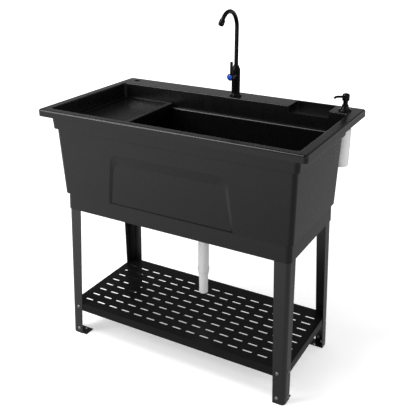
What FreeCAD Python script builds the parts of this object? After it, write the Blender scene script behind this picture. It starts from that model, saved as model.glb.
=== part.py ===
"""Utility sink on four splayed steel legs.

A moulded tub with a wide deck carries a gooseneck tap and a soap dispenser.  A drain tray slides on
a ledge inside the tub, and a perforated shelf ties the legs together above the floor.
Millimetres.  X runs along the front, Y towards the wall and Z up.  The origin lies on the floor,
under the middle of the rim.
"""
import FreeCAD, Part
import math
import os
import re
import Sketcher

SIZES = {
    # Rim and deck
    "rim_length": 930,
    "rim_depth": 530,
    "rim_height": 867,
    "rim_corner": 12,
    "rim_wall": 4,
    "rim_round": 7,
    "opening_round": 3,
    "fascia_height": 23,
    "side_rim": 33,
    "front_rim": 28,
    "deck_width": 90,
    # Tub
    "tub_wall": 5,
    "tub_corner": 11,
    "band_height": 68,
    "band_draft": 4,
    "tub_step": 8,
    "tub_height": 233,
    "side_draft": 4,
    "face_draft": 11,
    "ledge_depth": 62,
    "ledge_width": 14,
    "ledge_round": 5,
    "floor_thickness": 8,
    "floor_fall": 4,
    "drain_land": 150,
    "edge_round": 2,
    # Skirt and front panel
    "skirt_step": 6,
    "skirt_height": 58.5,
    "skirt_wall": 3,
    "panel_side": 198,
    "panel_lean": 23,
    "panel_gap": 47,
    "panel_proud": 5,
    "panel_bevel": 11,
    "panel_fade": 40,
    "panel_corner": 32,
    # Soap recess in the deck
    "recess_side": 97,
    "recess_length": 138,
    "recess_depth": 22,
    "recess_back": 15,
    "recess_corner": 9,
    # Sliding drain tray
    "tray_width": 212,
    "tray_gap": 3,
    "tray_rise": 16,
    "tray_depth": 45,
    "tray_rim": 18,
    "tray_wall": 2.5,
    "tray_board_drop": 5,
    "tray_board_fall": 4,
    "tray_gutter": 16,
    "tray_corner": 18,
    "tray_holes": 11,
    "tray_hole_radius": 4,
    "tray_hole_margin": 26,
    "tray_round": 2.5,
    # Legs
    "leg_splay": 0.0355,
    "leg_gap": 0.3,
    "leg_steel": 1.6,
    "leg_round": 14,
    "leg_flange_top": 51,
    "leg_flange_foot": 42,
    "socket_rib": 3,
    "socket_depth": 48,
    # Foot brackets
    "foot_steel": 2,
    "foot_width": 60,
    "foot_tab_width": 37,
    "foot_tab_height": 36,
    "foot_bolt_height": 21,
    "foot_depth": 42,
    "anchor_radius": 3.5,
    "anchor_inset": 34,
    # Shelf
    "shelf_height": 130.5,
    "shelf_flange": 30,
    "shelf_steel": 1.2,
    "shelf_gap": 0.2,
    "slot_columns": 15,
    "slot_rows": 8,
    "slot_side": 49.5,
    "slot_front": 47,
    "slot_back": 63,
    "slot_length": 37,
    "slot_width": 11,
    "slot_corner": 3,
    # Bolts
    "bolt_radius": 3,
    "bolt_hole_gap": 0.4,
    "bolt_inset": 28,
    "bolt_head_radius": 6,
    "bolt_head_height": 3.5,
    "bolt_length": 13,
    "nut_radius": 5.6,
    "nut_height": 5,
    # Drain
    "drain_x": 16,
    "drain_shift": 11,
    "cup_radius": 44.5,
    "cup_wall": 2.5,
    "cup_depth": 46,
    "cup_flange_radius": 56,
    "cup_flange_height": 3,
    "cup_flange_bevel": 3,
    "thread_gap": 0.3,
    "small_bevel": 1,
    "relief_depth": 0.6,
    "relief_width": 2,
    "gasket_height": 4,
    "gasket_radius": 58,
    "drain_nut_height": 15,
    "drain_nut_grips": 8,
    "drain_nut_grip": 7,
    "grip_shift": 2,
    "neck_radius": 22,
    "neck_wall": 5.5,
    "neck_length": 26,
    "coupling_wall": 5,
    "coupling_lip": 3,
    "coupling_reach": 12,
    "tail_radius": 19.2,
    "tail_wall": 1.8,
    "tail_flange": 3,
    "tail_end": 288,
    "slip_nut_radius": 21,
    "slip_nut_foot": 18,
    "slip_nut_height": 29,
    "slip_nut_lip": 14,
    "slip_nut_ring": 5,
    "slip_washer_height": 5,
    "pipe_radius": 16,
    "pipe_wall": 1.8,
    "pipe_end": 195,
    "pipe_overlap": 40,
    "outlet_length": 66,
    "basket_radius": 39,
    "basket_depth": 38,
    "basket_wall": 1.5,
    "basket_bevel": 3,
    "basket_gap": 0.5,
    "basket_slots": 14,
    "basket_slot_width": 3,
    "basket_slot_margin": 5,
    "basket_knob_radius": 8,
    "basket_knob_rise": 6,
    "basket_knob_stem": 3,
    "basket_knob_bevel": 2,
    "stopper_lip": 4,
    # Tap
    "tap_x": 16,
    "tap_seat": 32,
    "tap_base_radius": 21,
    "tap_base_height": 11,
    "tap_base_edge": 4,
    "tap_base_bevel": 3,
    "tap_radius": 15,
    "tap_height": 90,
    "tap_wall": 3,
    "tap_floor": 4,
    "tap_roof": 10,
    "collar_height": 17,
    "collar_wall": 2.5,
    "collar_edge": 3,
    "spout_radius": 7,
    "spout_wall": 1.6,
    "spout_socket": 5,
    "spout_rise": 232,
    "spout_bend": 58,
    "spout_turn": 140,
    "running_gap": 0.05,
    "aerator_radius": 9.5,
    "aerator_length": 20,
    "aerator_grip": 10,
    "aerator_lip": 3,
    "aerator_bevel": 2,
    "shank_radius": 10.25,
    "shank_bore": 6.5,
    "shank_length": 66,
    "inlet_length": 46,
    "deck_hole_gap": 1.5,
    "washer_height": 3,
    "washer_radius": 19,
    "lock_nut_radius": 17,
    "lock_nut_height": 8,
    # Tap handle
    "handle_height": 73,
    "boss_radius": 9.5,
    "boss_reach": 29,
    "boss_floor": 4,
    "cartridge_radius": 6.5,
    "spindle_radius": 3.5,
    "hub_radius": 12,
    "hub_length": 17,
    "hub_gap": 0.5,
    "hub_bevel": 1.5,
    "lever_seat": 3,
    "lever_width": 9,
    "lever_thickness": 5,
    "lever_length": 51,
    "index_radius": 8.5,
    "index_height": 2,
    "index_sink": 1,
    "index_bevel": 2,
    # Soap dispenser
    "soap_side": 56,
    "soap_seat": 36,
    "soap_flange_radius": 21,
    "soap_flange_height": 5,
    "soap_flange_bevel": 1.5,
    "soap_flange_step": 4,
    "soap_cone_height": 19,
    "soap_neck_radius": 11,
    "pump_radius": 8,
    "pump_travel": 13,
    "pump_stop_gap": 1,
    "pump_head_radius": 12,
    "pump_head_height": 23,
    "pump_foot_radius": 9.5,
    "pump_foot_height": 4,
    "pump_head_seat": 6,
    "pump_head_crown": 5,
    "nozzle_radius": 4,
    "nozzle_bore": 1.8,
    "nozzle_reach": 38,
    "nozzle_bend": 16,
    "nozzle_droop": 50,
    "nozzle_heading": 208,
    "nozzle_level": 12,
    "soap_shank_radius": 14,
    "soap_shank_wall": 3.5,
    "soap_shank_length": 50,
    "soap_nut_radius": 21,
    "soap_nut_height": 8,
    "soap_nut_grips": 8,
    "soap_nut_grip": 3,
    "spring_radius": 8,
    "spring_wire": 1.4,
    "bottle_gap": 4,
    "bottle_wall": 1.5,
    "bottle_height": 155,
    "bottle_neck": 18,
    "bottle_slope": 8,
    "bottle_bevel": 3,
    "dip_radius": 3.5,
    "dip_wall": 1,
    "dip_clear": 12,
    # Accessory hole in the deck
    "spare_side": 51,
    "spare_seat": 53,
    "spare_radius": 11,
}

# Places and fits that follow from the sizes above
FITS = {
    "opening_half": "rim_length / 2 - side_rim",
    "opening_front": "front_rim - rim_depth / 2",
    "opening_back": "rim_depth / 2 - deck_width",
    "outer_corner": "tub_corner + tub_wall",
    "rim_underside": "rim_height - fascia_height",
    "deck_underside": "rim_height - rim_wall",
    "band_bottom": "rim_height - band_height",
    "tub_bottom": "band_bottom - tub_height",
    "skirt_bottom": "tub_bottom - skirt_height",
    "ledge_height": "rim_height - ledge_depth",
    "floor_top": "tub_bottom + floor_thickness",
    "drain_floor": "floor_top - floor_fall",
    "band_inset": "band_draft - tub_wall",
    "tub_inset": "band_inset + tub_step",
    "foot_inset_x": "tub_inset + side_draft",
    "foot_inset_y": "tub_inset + face_draft",
    "skirt_inset_x": "foot_inset_x + skirt_step",
    "skirt_inset_y": "foot_inset_y + skirt_step",
    "skirt_flare": "skirt_height * leg_splay",
    "skirt_foot_x": "skirt_inset_x - skirt_flare",
    "skirt_foot_y": "skirt_inset_y - skirt_flare",
    "skirt_corner": "leg_round + leg_gap + skirt_wall",
    "basin_inset": "band_draft + ledge_width",
    "basin_foot_x": "foot_inset_x + tub_wall + side_draft",
    "basin_foot_y": "foot_inset_y + tub_wall",
    "recess_floor": "rim_height - recess_depth",
    "recess_right": "rim_length / 2 - recess_side",
    "recess_left": "recess_right - recess_length",
    "panel_foot": "opening_half - panel_side",
    "panel_head": "panel_foot - panel_lean",
    "panel_height": "tub_height - panel_gap",
    "panel_tilt": "atan(face_draft / tub_height)",
    "panel_base_y": "0 - opening_front - foot_inset_y",
    "leg_half": "opening_half - skirt_inset_x - skirt_wall - leg_gap + tub_bottom * leg_splay",
    "leg_front": "opening_front + skirt_inset_y + skirt_wall + leg_gap - tub_bottom * leg_splay",
    "leg_back": "opening_back - skirt_inset_y - skirt_wall - leg_gap + tub_bottom * leg_splay",
    "leg_centre": "(leg_front + leg_back) / 2",
    "leg_top": "tub_bottom - leg_gap",
    "splay_angle": "atan(leg_splay)",
    "shelf_bottom": "shelf_height - shelf_flange",
    "shelf_bolt_height": "shelf_height - shelf_flange / 2",
    "bolt_hole": "bolt_radius + bolt_hole_gap",
    "slot_first_x": "slot_side - leg_half",
    "slot_first_y": "leg_front + slot_front",
    "slot_row_step": "(leg_back - slot_back - slot_first_y) / (slot_rows - 1)",
    "tray_left": "tray_gap - opening_half + band_draft",
    "tray_right": "tray_left + tray_width",
    "tray_front": "opening_front + band_draft + tray_gap",
    "tray_back": "opening_back - band_draft - tray_gap",
    "tray_top": "ledge_height + tray_rise",
    "tray_bottom": "tray_top - tray_depth",
    "tray_pan_inset": "ledge_width + 1",
    "gutter_right": "tray_right - tray_rim",
    "gutter_left": "gutter_right - tray_gutter",
    "board_left": "tray_left + tray_rim",
    "board_top": "tray_top - tray_board_drop",
    "board_low": "board_top - tray_board_fall",
    "drain_y": "(opening_front + opening_back) / 2 + drain_shift",
    "cup_bottom": "drain_floor - cup_depth",
    "cup_hole": "cup_radius + thread_gap",
    "gasket_bottom": "tub_bottom - gasket_height",
    "drain_nut_bottom": "gasket_bottom - drain_nut_height",
    "neck_bottom": "cup_bottom - neck_length",
    "neck_bore": "neck_radius - neck_wall",
    "tail_bore": "tail_radius - tail_wall",
    "coupling_radius": "neck_radius + coupling_wall",
    "basket_top": "drain_floor + small_bevel",
    "stopper_radius": "neck_bore + stopper_lip",
    "outlet_relief": "pipe_end + outlet_length",
    "shank_bottom": "rim_height - shank_length",
    "inlet_relief": "shank_bottom + inlet_length",
    "pipe_top": "tail_end + pipe_overlap",
    "tap_y": "opening_back + tap_seat",
    "tap_foot": "rim_height + tap_base_height",
    "tap_top": "rim_height + tap_height",
    "tap_bore": "tap_radius - tap_wall",
    "collar_top": "tap_top + collar_height",
    "spout_bottom": "tap_top - spout_socket",
    "spout_corner": "rim_height + spout_rise",
    "spout_hole": "spout_radius + running_gap",
    "spout_bore": "spout_radius - spout_wall",
    "handle_axis": "rim_height + handle_height",
    "hub_back": "boss_reach + hub_gap",
    "hub_front": "hub_back + hub_length",
    "spindle_back": "boss_reach / 2",
    "spindle_front": "(hub_back + hub_front) / 2",
    "lever_back": "hub_back + lever_seat",
    "lever_root": "spindle_radius + hub_bevel",
    "tap_deck_hole": "shank_radius + deck_hole_gap",
    "washer_bottom": "deck_underside - washer_height",
    "soap_x": "rim_length / 2 - soap_side",
    "soap_y": "opening_back + soap_seat",
    "spare_x": "spare_side - rim_length / 2",
    "spare_y": "opening_back + spare_seat",
    "soap_deck_hole": "soap_shank_radius + deck_hole_gap",
    "soap_cone_top": "rim_height + soap_cone_height",
    "pump_head_bottom": "soap_cone_top + pump_travel + pump_stop_gap",
    "pump_foot_top": "rim_height",
    "pump_foot_bottom": "pump_foot_top - pump_foot_height",
    "soap_bore": "soap_shank_radius - soap_shank_wall",
    "soap_shank_bottom": "rim_height - soap_shank_length",
    "spring_seat": "soap_shank_bottom + bottle_neck / 3",
    "pump_hole": "pump_radius + running_gap",
    "bottle_top": "soap_shank_bottom + bottle_neck",
    "bottle_bottom": "bottle_top - bottle_height",
    "bottle_radius": "soap_seat - tub_wall - bottle_gap",
    "bottle_shoulder": "bottle_top - bottle_neck - bottle_bevel",
    "nozzle_height": "pump_head_bottom + nozzle_level",
}

DOC = FreeCAD.newDocument("UtilitySink")
CELLS = {}


def fill_sheet(name, column):
    """Write one sheet: the names in A, the values in B under an alias."""
    sheet = DOC.addObject("Spreadsheet::Sheet", name)
    for row, (alias, text) in enumerate(column.items(), 1):
        sheet.set(f"A{row}", alias)
        sheet.set(f"B{row}", text)
        sheet.setAlias(f"B{row}", alias)
        CELLS[alias] = f"{name}.{alias}"
    DOC.recompute()
    return sheet


def link(text):
    """Point every size named in an expression at its cell."""
    return re.sub(r"\b[a-z]\w*", lambda found: CELLS.get(found.group(0), found.group(0)), text)


SIZE_SHEET = fill_sheet("Sizes", {alias: str(value) for alias, value in SIZES.items()})
for fit in FITS:
    CELLS[fit] = f"Fits.{fit}"
FIT_SHEET = fill_sheet("Fits", {alias: "=" + link(text).replace("Fits.", "") for alias, text in FITS.items()})


def number(text):
    """The present value of an expression."""
    value = SIZE_SHEET.evalExpression(link(text))
    return float(getattr(value, "Value", value))


def bind(thing, place, text):
    """Tie a property of an object to an expression."""
    thing.setExpression(place, link(text))


def hold(sketch, shape, end, x, y):
    """Hold one point of a sketch at two distances from the sketch's origin."""
    for kind, text in (("DistanceX", x), ("DistanceY", y)):
        rule = sketch.addConstraint(Sketcher.Constraint(kind, -1, 1, shape, end, number(text)))
        bind(sketch, f"Constraints[{rule}]", text)


def fix_radius(sketch, shape, text):
    rule = sketch.addConstraint(Sketcher.Constraint("Radius", shape, number(text)))
    bind(sketch, f"Constraints[{rule}]", text)


def circle(sketch, x, y, radius):
    """Add a circle to a sketch."""
    centre = FreeCAD.Vector(number(x), number(y), 0)
    shape = sketch.addGeometry(Part.Circle(centre, FreeCAD.Vector(0, 0, 1), number(radius)), False)
    fix_radius(sketch, shape, radius)
    hold(sketch, shape, 3, x, y)


def outline(sketch, corners):
    """Add a closed outline through corners (x, y) or (x, y, rounding radius), counter-clockwise."""
    spots = [FreeCAD.Vector(number(corner[0]), number(corner[1]), 0) for corner in corners]
    count = len(corners)
    joins = []
    for index, corner in enumerate(corners):
        here = spots[index]
        if len(corner) == 2:
            joins.append((here, here))
            continue
        back = (spots[index - 1] - here).normalize()
        ahead = (spots[(index + 1) % count] - here).normalize()
        reach = number(corner[2]) / math.tan(back.getAngle(ahead) / 2)
        joins.append((here + back * reach, here + ahead * reach))
    edges = []
    for index in range(count):
        edge = Part.LineSegment(joins[index][1], joins[(index + 1) % count][0])
        edges.append(sketch.addGeometry(edge, False))
    for index, corner in enumerate(corners):
        arriving = edges[index - 1]
        leaving = edges[index]
        if len(corner) == 2:
            sketch.addConstraint(Sketcher.Constraint("Coincident", arriving, 2, leaving, 1))
            hold(sketch, leaving, 1, corner[0], corner[1])
            continue
        round_corner(sketch, arriving, leaving, spots[index], joins[index], corner)


def round_corner(sketch, arriving, leaving, spot, join, corner):
    """Round one corner with an arc that touches both edges, which still aim at the corner point."""
    mark = sketch.addGeometry(Part.Point(spot), True)
    hold(sketch, mark, 1, corner[0], corner[1])
    for edge in (arriving, leaving):
        sketch.addConstraint(Sketcher.Constraint("PointOnObject", mark, 1, edge))
    entry, leave = join
    radius = number(corner[2])
    back = (entry - spot).normalize()
    ahead = (leave - spot).normalize()
    middle = (back + ahead).normalize()
    centre = spot + middle * (radius / math.sin(back.getAngle(ahead) / 2))
    turns_left = (spot - entry).cross(leave - spot).z > 0
    first, last = (entry, leave) if turns_left else (leave, entry)
    start = math.atan2(first.y - centre.y, first.x - centre.x)
    finish = math.atan2(last.y - centre.y, last.x - centre.x)
    whole = Part.Circle(centre, FreeCAD.Vector(0, 0, 1), radius)
    arc = sketch.addGeometry(Part.ArcOfCircle(whole, start, finish), False)
    entry_end, leave_end = (1, 2) if turns_left else (2, 1)
    sketch.addConstraint(Sketcher.Constraint("Tangent", arriving, 2, arc, entry_end))
    sketch.addConstraint(Sketcher.Constraint("Tangent", leaving, 1, arc, leave_end))
    fix_radius(sketch, arc, corner[2])


def box_corners(left, right, front, back, radius=None):
    """The four corners of an upright rectangle, rounded if a radius is given."""
    corners = [(left, front), (right, front), (right, back), (left, back)]
    return [corner + (radius,) for corner in corners] if radius else corners


class Piece:
    """One separate piece of the sink, whose label names its file."""

    def __init__(self, label, x="0", y="0", z="0", tilt_axis=None, tilt="0"):
        self.body = DOC.addObject("PartDesign::Body", label)
        self.body.Label = label
        if tilt_axis:
            self.body.Placement.Rotation = FreeCAD.Rotation(FreeCAD.Vector(*tilt_axis), number(tilt))
            bind(self.body, "Placement.Rotation.Angle", tilt)
        for name, text in (("x", x), ("y", y), ("z", z)):
            bind(self.body, f"Placement.Base.{name}", text)

    def plane(self, role):
        return next(part for part in self.body.Origin.OriginFeatures if part.Role == role)

    def sketch(self, role="XY_Plane", offset="0"):
        """An empty sketch on one of the piece's own planes, moved along that plane's normal."""
        sketch = self.body.newObject("Sketcher::SketchObject", "Sketch")
        sketch.AttachmentSupport = [(self.plane(role), "")]
        sketch.MapMode = "FlatFace"
        bind(sketch, "AttachmentOffset.Base.z", offset)
        return sketch

    def drawn(self, corners, role="XY_Plane", offset="0"):
        sketch = self.sketch(role, offset)
        outline(sketch, corners)
        return sketch

    def feature(self, kind, settings, cuts=False):
        """Add one feature; also returns the volume before it, if it cuts."""
        DOC.recompute()
        before = self.body.Shape.Volume if cuts else 0
        made = self.body.newObject(f"PartDesign::{kind}", kind)
        for name, value in settings.items():
            setattr(made, name, value)
        return made, before

    def settle(self, made, before):
        """Check that a feature built, and that a cut took something away."""
        DOC.recompute()
        if made.Shape.isNull():
            raise RuntimeError(f"{self.body.Label}: {made.Label} has no shape")
        if before and made.Shape.Volume > before - 1e-3:
            raise RuntimeError(f"{self.body.Label}: {made.Label} cut nothing")
        return made

    def pad(self, sketch, length, upwards=True):
        made, before = self.feature("Pad", {"Profile": sketch, "Reversed": not upwards})
        bind(made, "Length", length)
        return self.settle(made, before)

    def lean(self, sketch, height, towards, upwards=True):
        """Pad an outline to a height along a slanted direction."""
        made, before = self.feature("Pad", {"Profile": sketch, "Reversed": not upwards,
                                            "UseCustomVector": True, "AlongSketchNormal": True})
        for axis, text in zip("xyz", towards):
            bind(made, f"Direction.{axis}", text)
        bind(made, "Length", height)
        return self.settle(made, before)

    def pocket(self, sketch, length=None, upwards=False):
        """Cut down from the sketch, or up through the piece, to a depth or right through."""
        made, before = self.feature("Pocket", {"Profile": sketch, "Reversed": upwards}, cuts=True)
        if length:
            bind(made, "Length", length)
        else:
            made.Type = "ThroughAll"
        return self.settle(made, before)

    def loft(self, first, *others, cuts=False):
        kind = "SubtractiveLoft" if cuts else "AdditiveLoft"
        settings = {"Profile": first, "Sections": list(others), "Ruled": True}
        made, before = self.feature(kind, settings, cuts)
        return self.settle(made, before)

    def turn(self, corners, cuts=False):
        """Turn an outline of (radius, height) corners round the piece's Z axis."""
        sketch = self.drawn(corners, "XZ_Plane")
        kind = "Groove" if cuts else "Revolution"
        settings = {"Profile": sketch, "ReferenceAxis": (sketch, ["V_Axis"]), "Angle": 360}
        made, before = self.feature(kind, settings, cuts)
        return self.settle(made, before)

    def sweep(self, profile, path, cuts=False):
        kind = "SubtractivePipe" if cuts else "AdditivePipe"
        made, before = self.feature(kind, {"Profile": profile, "Spine": path}, cuts)
        return self.settle(made, before)

    def row(self, original, role, length, count):
        """Repeat a cut in a straight row that ends at the given length."""
        settings = {"Originals": [original], "Direction": (self.plane(role), [""])}
        made, before = self.feature("LinearPattern", settings, cuts=True)
        bind(made, "Length", length)
        bind(made, "Occurrences", count)
        self.body.Tip = made
        return self.settle(made, before)

    def ring(self, original, count):
        """Repeat a cut round the piece's Z axis."""
        settings = {"Originals": [original], "Axis": (self.plane("Z_Axis"), [""]), "Angle": 360}
        made, before = self.feature("PolarPattern", settings, cuts=True)
        bind(made, "Occurrences", count)
        self.body.Tip = made
        return self.settle(made, before)

    def round_edges(self, radius, chosen):
        """Round the edges that a test picks from the piece as it stands."""
        DOC.recompute()
        tip = self.body.Tip
        picked = [f"Edge{index}" for index, edge in enumerate(tip.Shape.Edges, 1) if chosen(edge)]
        if not picked:
            raise RuntimeError(f"{self.body.Label}: no edge to round")
        made, before = self.feature("Fillet", {"Base": (tip, picked)})
        bind(made, "Radius", radius)
        return self.settle(made, before)


def flat_at(height, inset=None):
    """A test for edges that lie flat at a height, within the tub's outline at an inset if one is given."""
    level = number(height)
    room = FreeCAD.BoundBox()
    if inset:
        slack = 0.5
        left, right, front, back = (number(text) for text in tub_limits(inset, inset))
        room = FreeCAD.BoundBox(left - slack, front - slack, level, right + slack, back + slack, level)

    def chosen(edge):
        box = edge.BoundBox
        flat = abs(box.ZMin - level) < 0.01 and abs(box.ZMax - level) < 0.01
        if not flat or not inset:
            return flat
        return (box.XMin > room.XMin and box.XMax < room.XMax
                and box.YMin > room.YMin and box.YMax < room.YMax)

    return chosen


def tub_limits(inset_x, inset_y):
    """Left, right, front and back of the tub's outline, moved in from the opening at the rim."""
    return (f"({inset_x}) - opening_half", f"opening_half - ({inset_x})",
            f"opening_front + ({inset_y})", f"opening_back - ({inset_y})")


def tub_outline(tub, height, inset_x, inset_y, corner):
    return tub.drawn(box_corners(*tub_limits(inset_x, inset_y), corner), offset=height)


def make_tub():
    """The moulded tub: rim, apron band, drafted walls, skirt, inner ledge and sloping floor."""
    tub = Piece("basin_tub")
    rim = ("0 - rim_length / 2", "rim_length / 2", "0 - rim_depth / 2", "rim_depth / 2")
    tub.pad(tub.drawn(box_corners(*rim, "rim_corner"), offset="rim_underside"), "fascia_height")
    tub.round_edges("rim_round", flat_at("rim_height"))
    tub.loft(tub_outline(tub, "rim_height", "0 - tub_wall", "0 - tub_wall", "outer_corner"),
             tub_outline(tub, "band_bottom", "band_inset", "band_inset", "outer_corner"))
    tub.round_edges("edge_round", flat_at("band_bottom"))
    tub.loft(tub_outline(tub, "band_bottom", "tub_inset", "tub_inset", "outer_corner"),
             tub_outline(tub, "tub_bottom", "foot_inset_x", "foot_inset_y", "outer_corner"))
    tub.round_edges("edge_round", flat_at("tub_bottom"))
    tub.loft(tub_outline(tub, "tub_bottom", "skirt_inset_x", "skirt_inset_y", "skirt_corner"),
             tub_outline(tub, "skirt_bottom", "skirt_foot_x", "skirt_foot_y", "skirt_corner"))
    add_front_panel(tub)
    hollow_basin(tub)
    hollow_rim(tub)
    add_soap_recess(tub)
    hollow_skirt(tub)
    drill_tub(tub)
    return tub.body


def add_front_panel(tub):
    """The raised trapezoid on the front: bevelled sides, and a top that fades into the drafted wall."""
    outlines = []
    for lift, inset, fade in (("-1", "0", "0"), ("panel_proud", "panel_bevel", "panel_fade")):
        sketch = tub.sketch("XZ_Plane")
        sketch.AttachmentOffset = FreeCAD.Placement(
            FreeCAD.Vector(), FreeCAD.Rotation(FreeCAD.Vector(1, 0, 0), number("panel_tilt")))
        bind(sketch, "AttachmentOffset.Rotation.Angle", "panel_tilt")
        bind(sketch, "AttachmentOffset.Base.y", f"tub_bottom - ({lift}) * sin(panel_tilt)")
        bind(sketch, "AttachmentOffset.Base.z", f"panel_base_y + ({lift}) * cos(panel_tilt)")
        foot = f"panel_foot - {inset}"
        head = f"panel_head - {inset}"
        top = f"panel_height - {fade}"
        outline(sketch, [(f"0 - ({foot})", "0"), (foot, "0"), (head, top, "panel_corner"),
                         (f"0 - ({head})", top, "panel_corner")])
        outlines.append(sketch)
    tub.loft(*outlines)


def hollow_basin(tub):
    """The room inside: wide above the ledge, narrower below it, with a floor that falls to the drain."""
    tub.loft(tub_outline(tub, "rim_height", "0", "0", "tub_corner"),
             tub_outline(tub, "ledge_height", "band_draft", "band_draft", "tub_corner"), cuts=True)
    tub.loft(tub_outline(tub, "ledge_height", "basin_inset", "basin_inset", "tub_corner"),
             tub_outline(tub, "floor_top", "basin_foot_x", "basin_foot_y", "tub_corner"), cuts=True)
    land = tub.drawn(box_corners("drain_x - drain_land / 2", "drain_x + drain_land / 2",
                                 "drain_y - drain_land / 2", "drain_y + drain_land / 2", "tub_corner"),
                     offset="drain_floor")
    tub.loft(tub_outline(tub, "floor_top", "basin_foot_x", "basin_foot_y", "tub_corner"), land, cuts=True)
    tub.round_edges("ledge_round", flat_at("ledge_height", "basin_inset"))
    tub.round_edges("opening_round", flat_at("rim_height", "0"))


def hollow_rim(tub):
    """The channel under the rim and the deck, between the fascia and the band."""
    channel = tub.sketch(offset="rim_underside")
    outline(channel, box_corners("rim_wall - rim_length / 2", "rim_length / 2 - rim_wall",
                                 "rim_wall - rim_depth / 2", "rim_depth / 2 - rim_wall",
                                 "rim_corner - rim_wall"))
    outline(channel, box_corners(*tub_limits("0 - tub_wall", "0 - tub_wall"), "outer_corner"))
    tub.pocket(channel, "fascia_height - rim_wall", upwards=True)


def add_soap_recess(tub):
    """The soap recess: a box under the deck, open to the basin in front."""
    back = "rim_depth / 2 - recess_back"
    walls = tub.drawn(box_corners("recess_left - rim_wall", "recess_right + rim_wall",
                                  "opening_back", f"{back} + rim_wall"), offset="recess_floor - rim_wall")
    tub.pad(walls, "recess_depth + rim_wall")
    hollow = [("recess_left", "opening_back - basin_inset"), ("recess_right", "opening_back - basin_inset"),
              ("recess_right", back, "recess_corner"), ("recess_left", back, "recess_corner")]
    tub.pocket(tub.drawn(hollow, offset="rim_height"), "recess_depth")


def hollow_skirt(tub):
    """The space inside the skirt, with ribs that hold the head of each leg in its corner."""
    corner = "skirt_corner - skirt_wall"
    top = ("skirt_inset_x + skirt_wall", "skirt_inset_y + skirt_wall", corner)
    foot = ("skirt_foot_x + skirt_wall", "skirt_foot_y + skirt_wall", corner)
    tub.loft(tub_outline(tub, "tub_bottom", *top), tub_outline(tub, "skirt_bottom", *foot), cuts=True)
    for side, end in CORNERS:
        rib = leg_angle(tub, side, end, "tub_bottom", "leg_flange_top", "leg_steel + leg_gap", "socket_rib")
        tub.lean(rib, "socket_depth", leg_direction(side, end), upwards=False)


def drill_tub(tub):
    """Holes for the drain, the tap, the dispenser and the accessory hole in the deck."""
    drain = tub.sketch(offset="floor_top")
    circle(drain, "drain_x", "drain_y", "cup_hole")
    tub.pocket(drain, "floor_thickness")
    deck = tub.sketch(offset="rim_height")
    circle(deck, "tap_x", "tap_y", "tap_deck_hole")
    circle(deck, "soap_x", "soap_y", "soap_deck_hole")
    circle(deck, "spare_x", "spare_y", "spare_radius")
    tub.pocket(deck, "rim_wall")


CORNERS = (("left", "front"), ("right", "front"), ("left", "back"), ("right", "back"))


def leg_point(side, end, height, inward_x, inward_y):
    """A point measured in from a leg's outer corner at a height, where the splay has moved it."""
    if side == "left":
        x = f"leg_splay * ({height}) - leg_half + ({inward_x})"
    else:
        x = f"leg_half - leg_splay * ({height}) - ({inward_x})"
    if end == "front":
        y = f"leg_front + leg_splay * ({height}) + ({inward_y})"
    else:
        y = f"leg_back - leg_splay * ({height}) - ({inward_y})"
    return x, y


def leg_direction(side, end):
    """Upwards along a leg, which leans in towards the tub on both sides."""
    return ("leg_splay" if side == "left" else "0 - leg_splay",
            "leg_splay" if end == "front" else "0 - leg_splay", "1")


def leg_angle(piece, side, end, height, width, inset, thickness):
    """An L-shaped outline in a leg's corner: its width, how far in it lies, and its thickness."""
    inner = f"({inset}) + ({thickness})"

    def at(inward_x, inward_y, *radius):
        return leg_point(side, end, height, inward_x, inward_y) + radius

    corners = [at(inset, inset, f"leg_round - ({inset})"), at(width, inset), at(width, inner),
               at(inner, inner, f"leg_round - ({inner})"), at(inner, width), at(inset, width)]
    return piece.drawn(corners, offset=height)


def drill_corner(piece, heights):
    """Bolt holes through both flanges of the front left corner at the given heights."""
    front = piece.sketch("XZ_Plane", "0 - leg_front")
    left = piece.sketch("YZ_Plane", "0 - leg_half")
    for height in heights:
        x, y = leg_point("left", "front", height, "bolt_inset", "bolt_inset")
        circle(front, x, height, "bolt_hole")
        circle(left, y, height, "bolt_hole")
    piece.pocket(front, "bolt_inset - leg_round")
    piece.pocket(left, "bolt_inset - leg_round", upwards=True)


def mirrored(label, source, across):
    """The same piece on the other side, across the middle from left to right or front to back."""
    copy = DOC.addObject("Part::Mirroring", label)
    copy.Label = label
    copy.Source = source
    copy.Normal = (1, 0, 0) if across == "left to right" else (0, 1, 0)
    if across == "front to back":
        bind(copy, "Base.y", "leg_centre")
    return copy


def four_corners(kind, front_left):
    """The front left piece and its three mirrored neighbours."""
    front_right = mirrored(f"{kind}_front_right", front_left, "left to right")
    back_left = mirrored(f"{kind}_back_left", front_left, "front to back")
    back_right = mirrored(f"{kind}_back_right", front_right, "front to back")
    return [front_left, front_right, back_left, back_right]


def make_legs():
    """Folded steel angles that splay outwards and narrow towards the floor."""
    leg = Piece("leg_front_left")
    angle = leg_angle(leg, "left", "front", "0", "leg_flange_top", "0", "leg_steel")
    leg.lean(angle, "leg_top", leg_direction("left", "front"))
    beyond = "leg_flange_top + 1"
    wedge = [("0", "leg_flange_foot"), ("0", beyond), ("leg_top", beyond), ("leg_top", "leg_flange_top")]
    places = [leg_point("left", "front", height, inward, inward) for height, inward in wedge]
    front = [(x, height) for (x, y), (height, inward) in zip(places, wedge)]
    side = [(y, height) for (x, y), (height, inward) in zip(places, wedge)]
    leg.pocket(leg.drawn(front, "XZ_Plane", "0 - leg_front"))
    leg.pocket(leg.drawn(side, "YZ_Plane", "0 - leg_half"), upwards=True)
    drill_corner(leg, ["foot_bolt_height", "shelf_bolt_height"])
    return four_corners("leg", leg.body)


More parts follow.
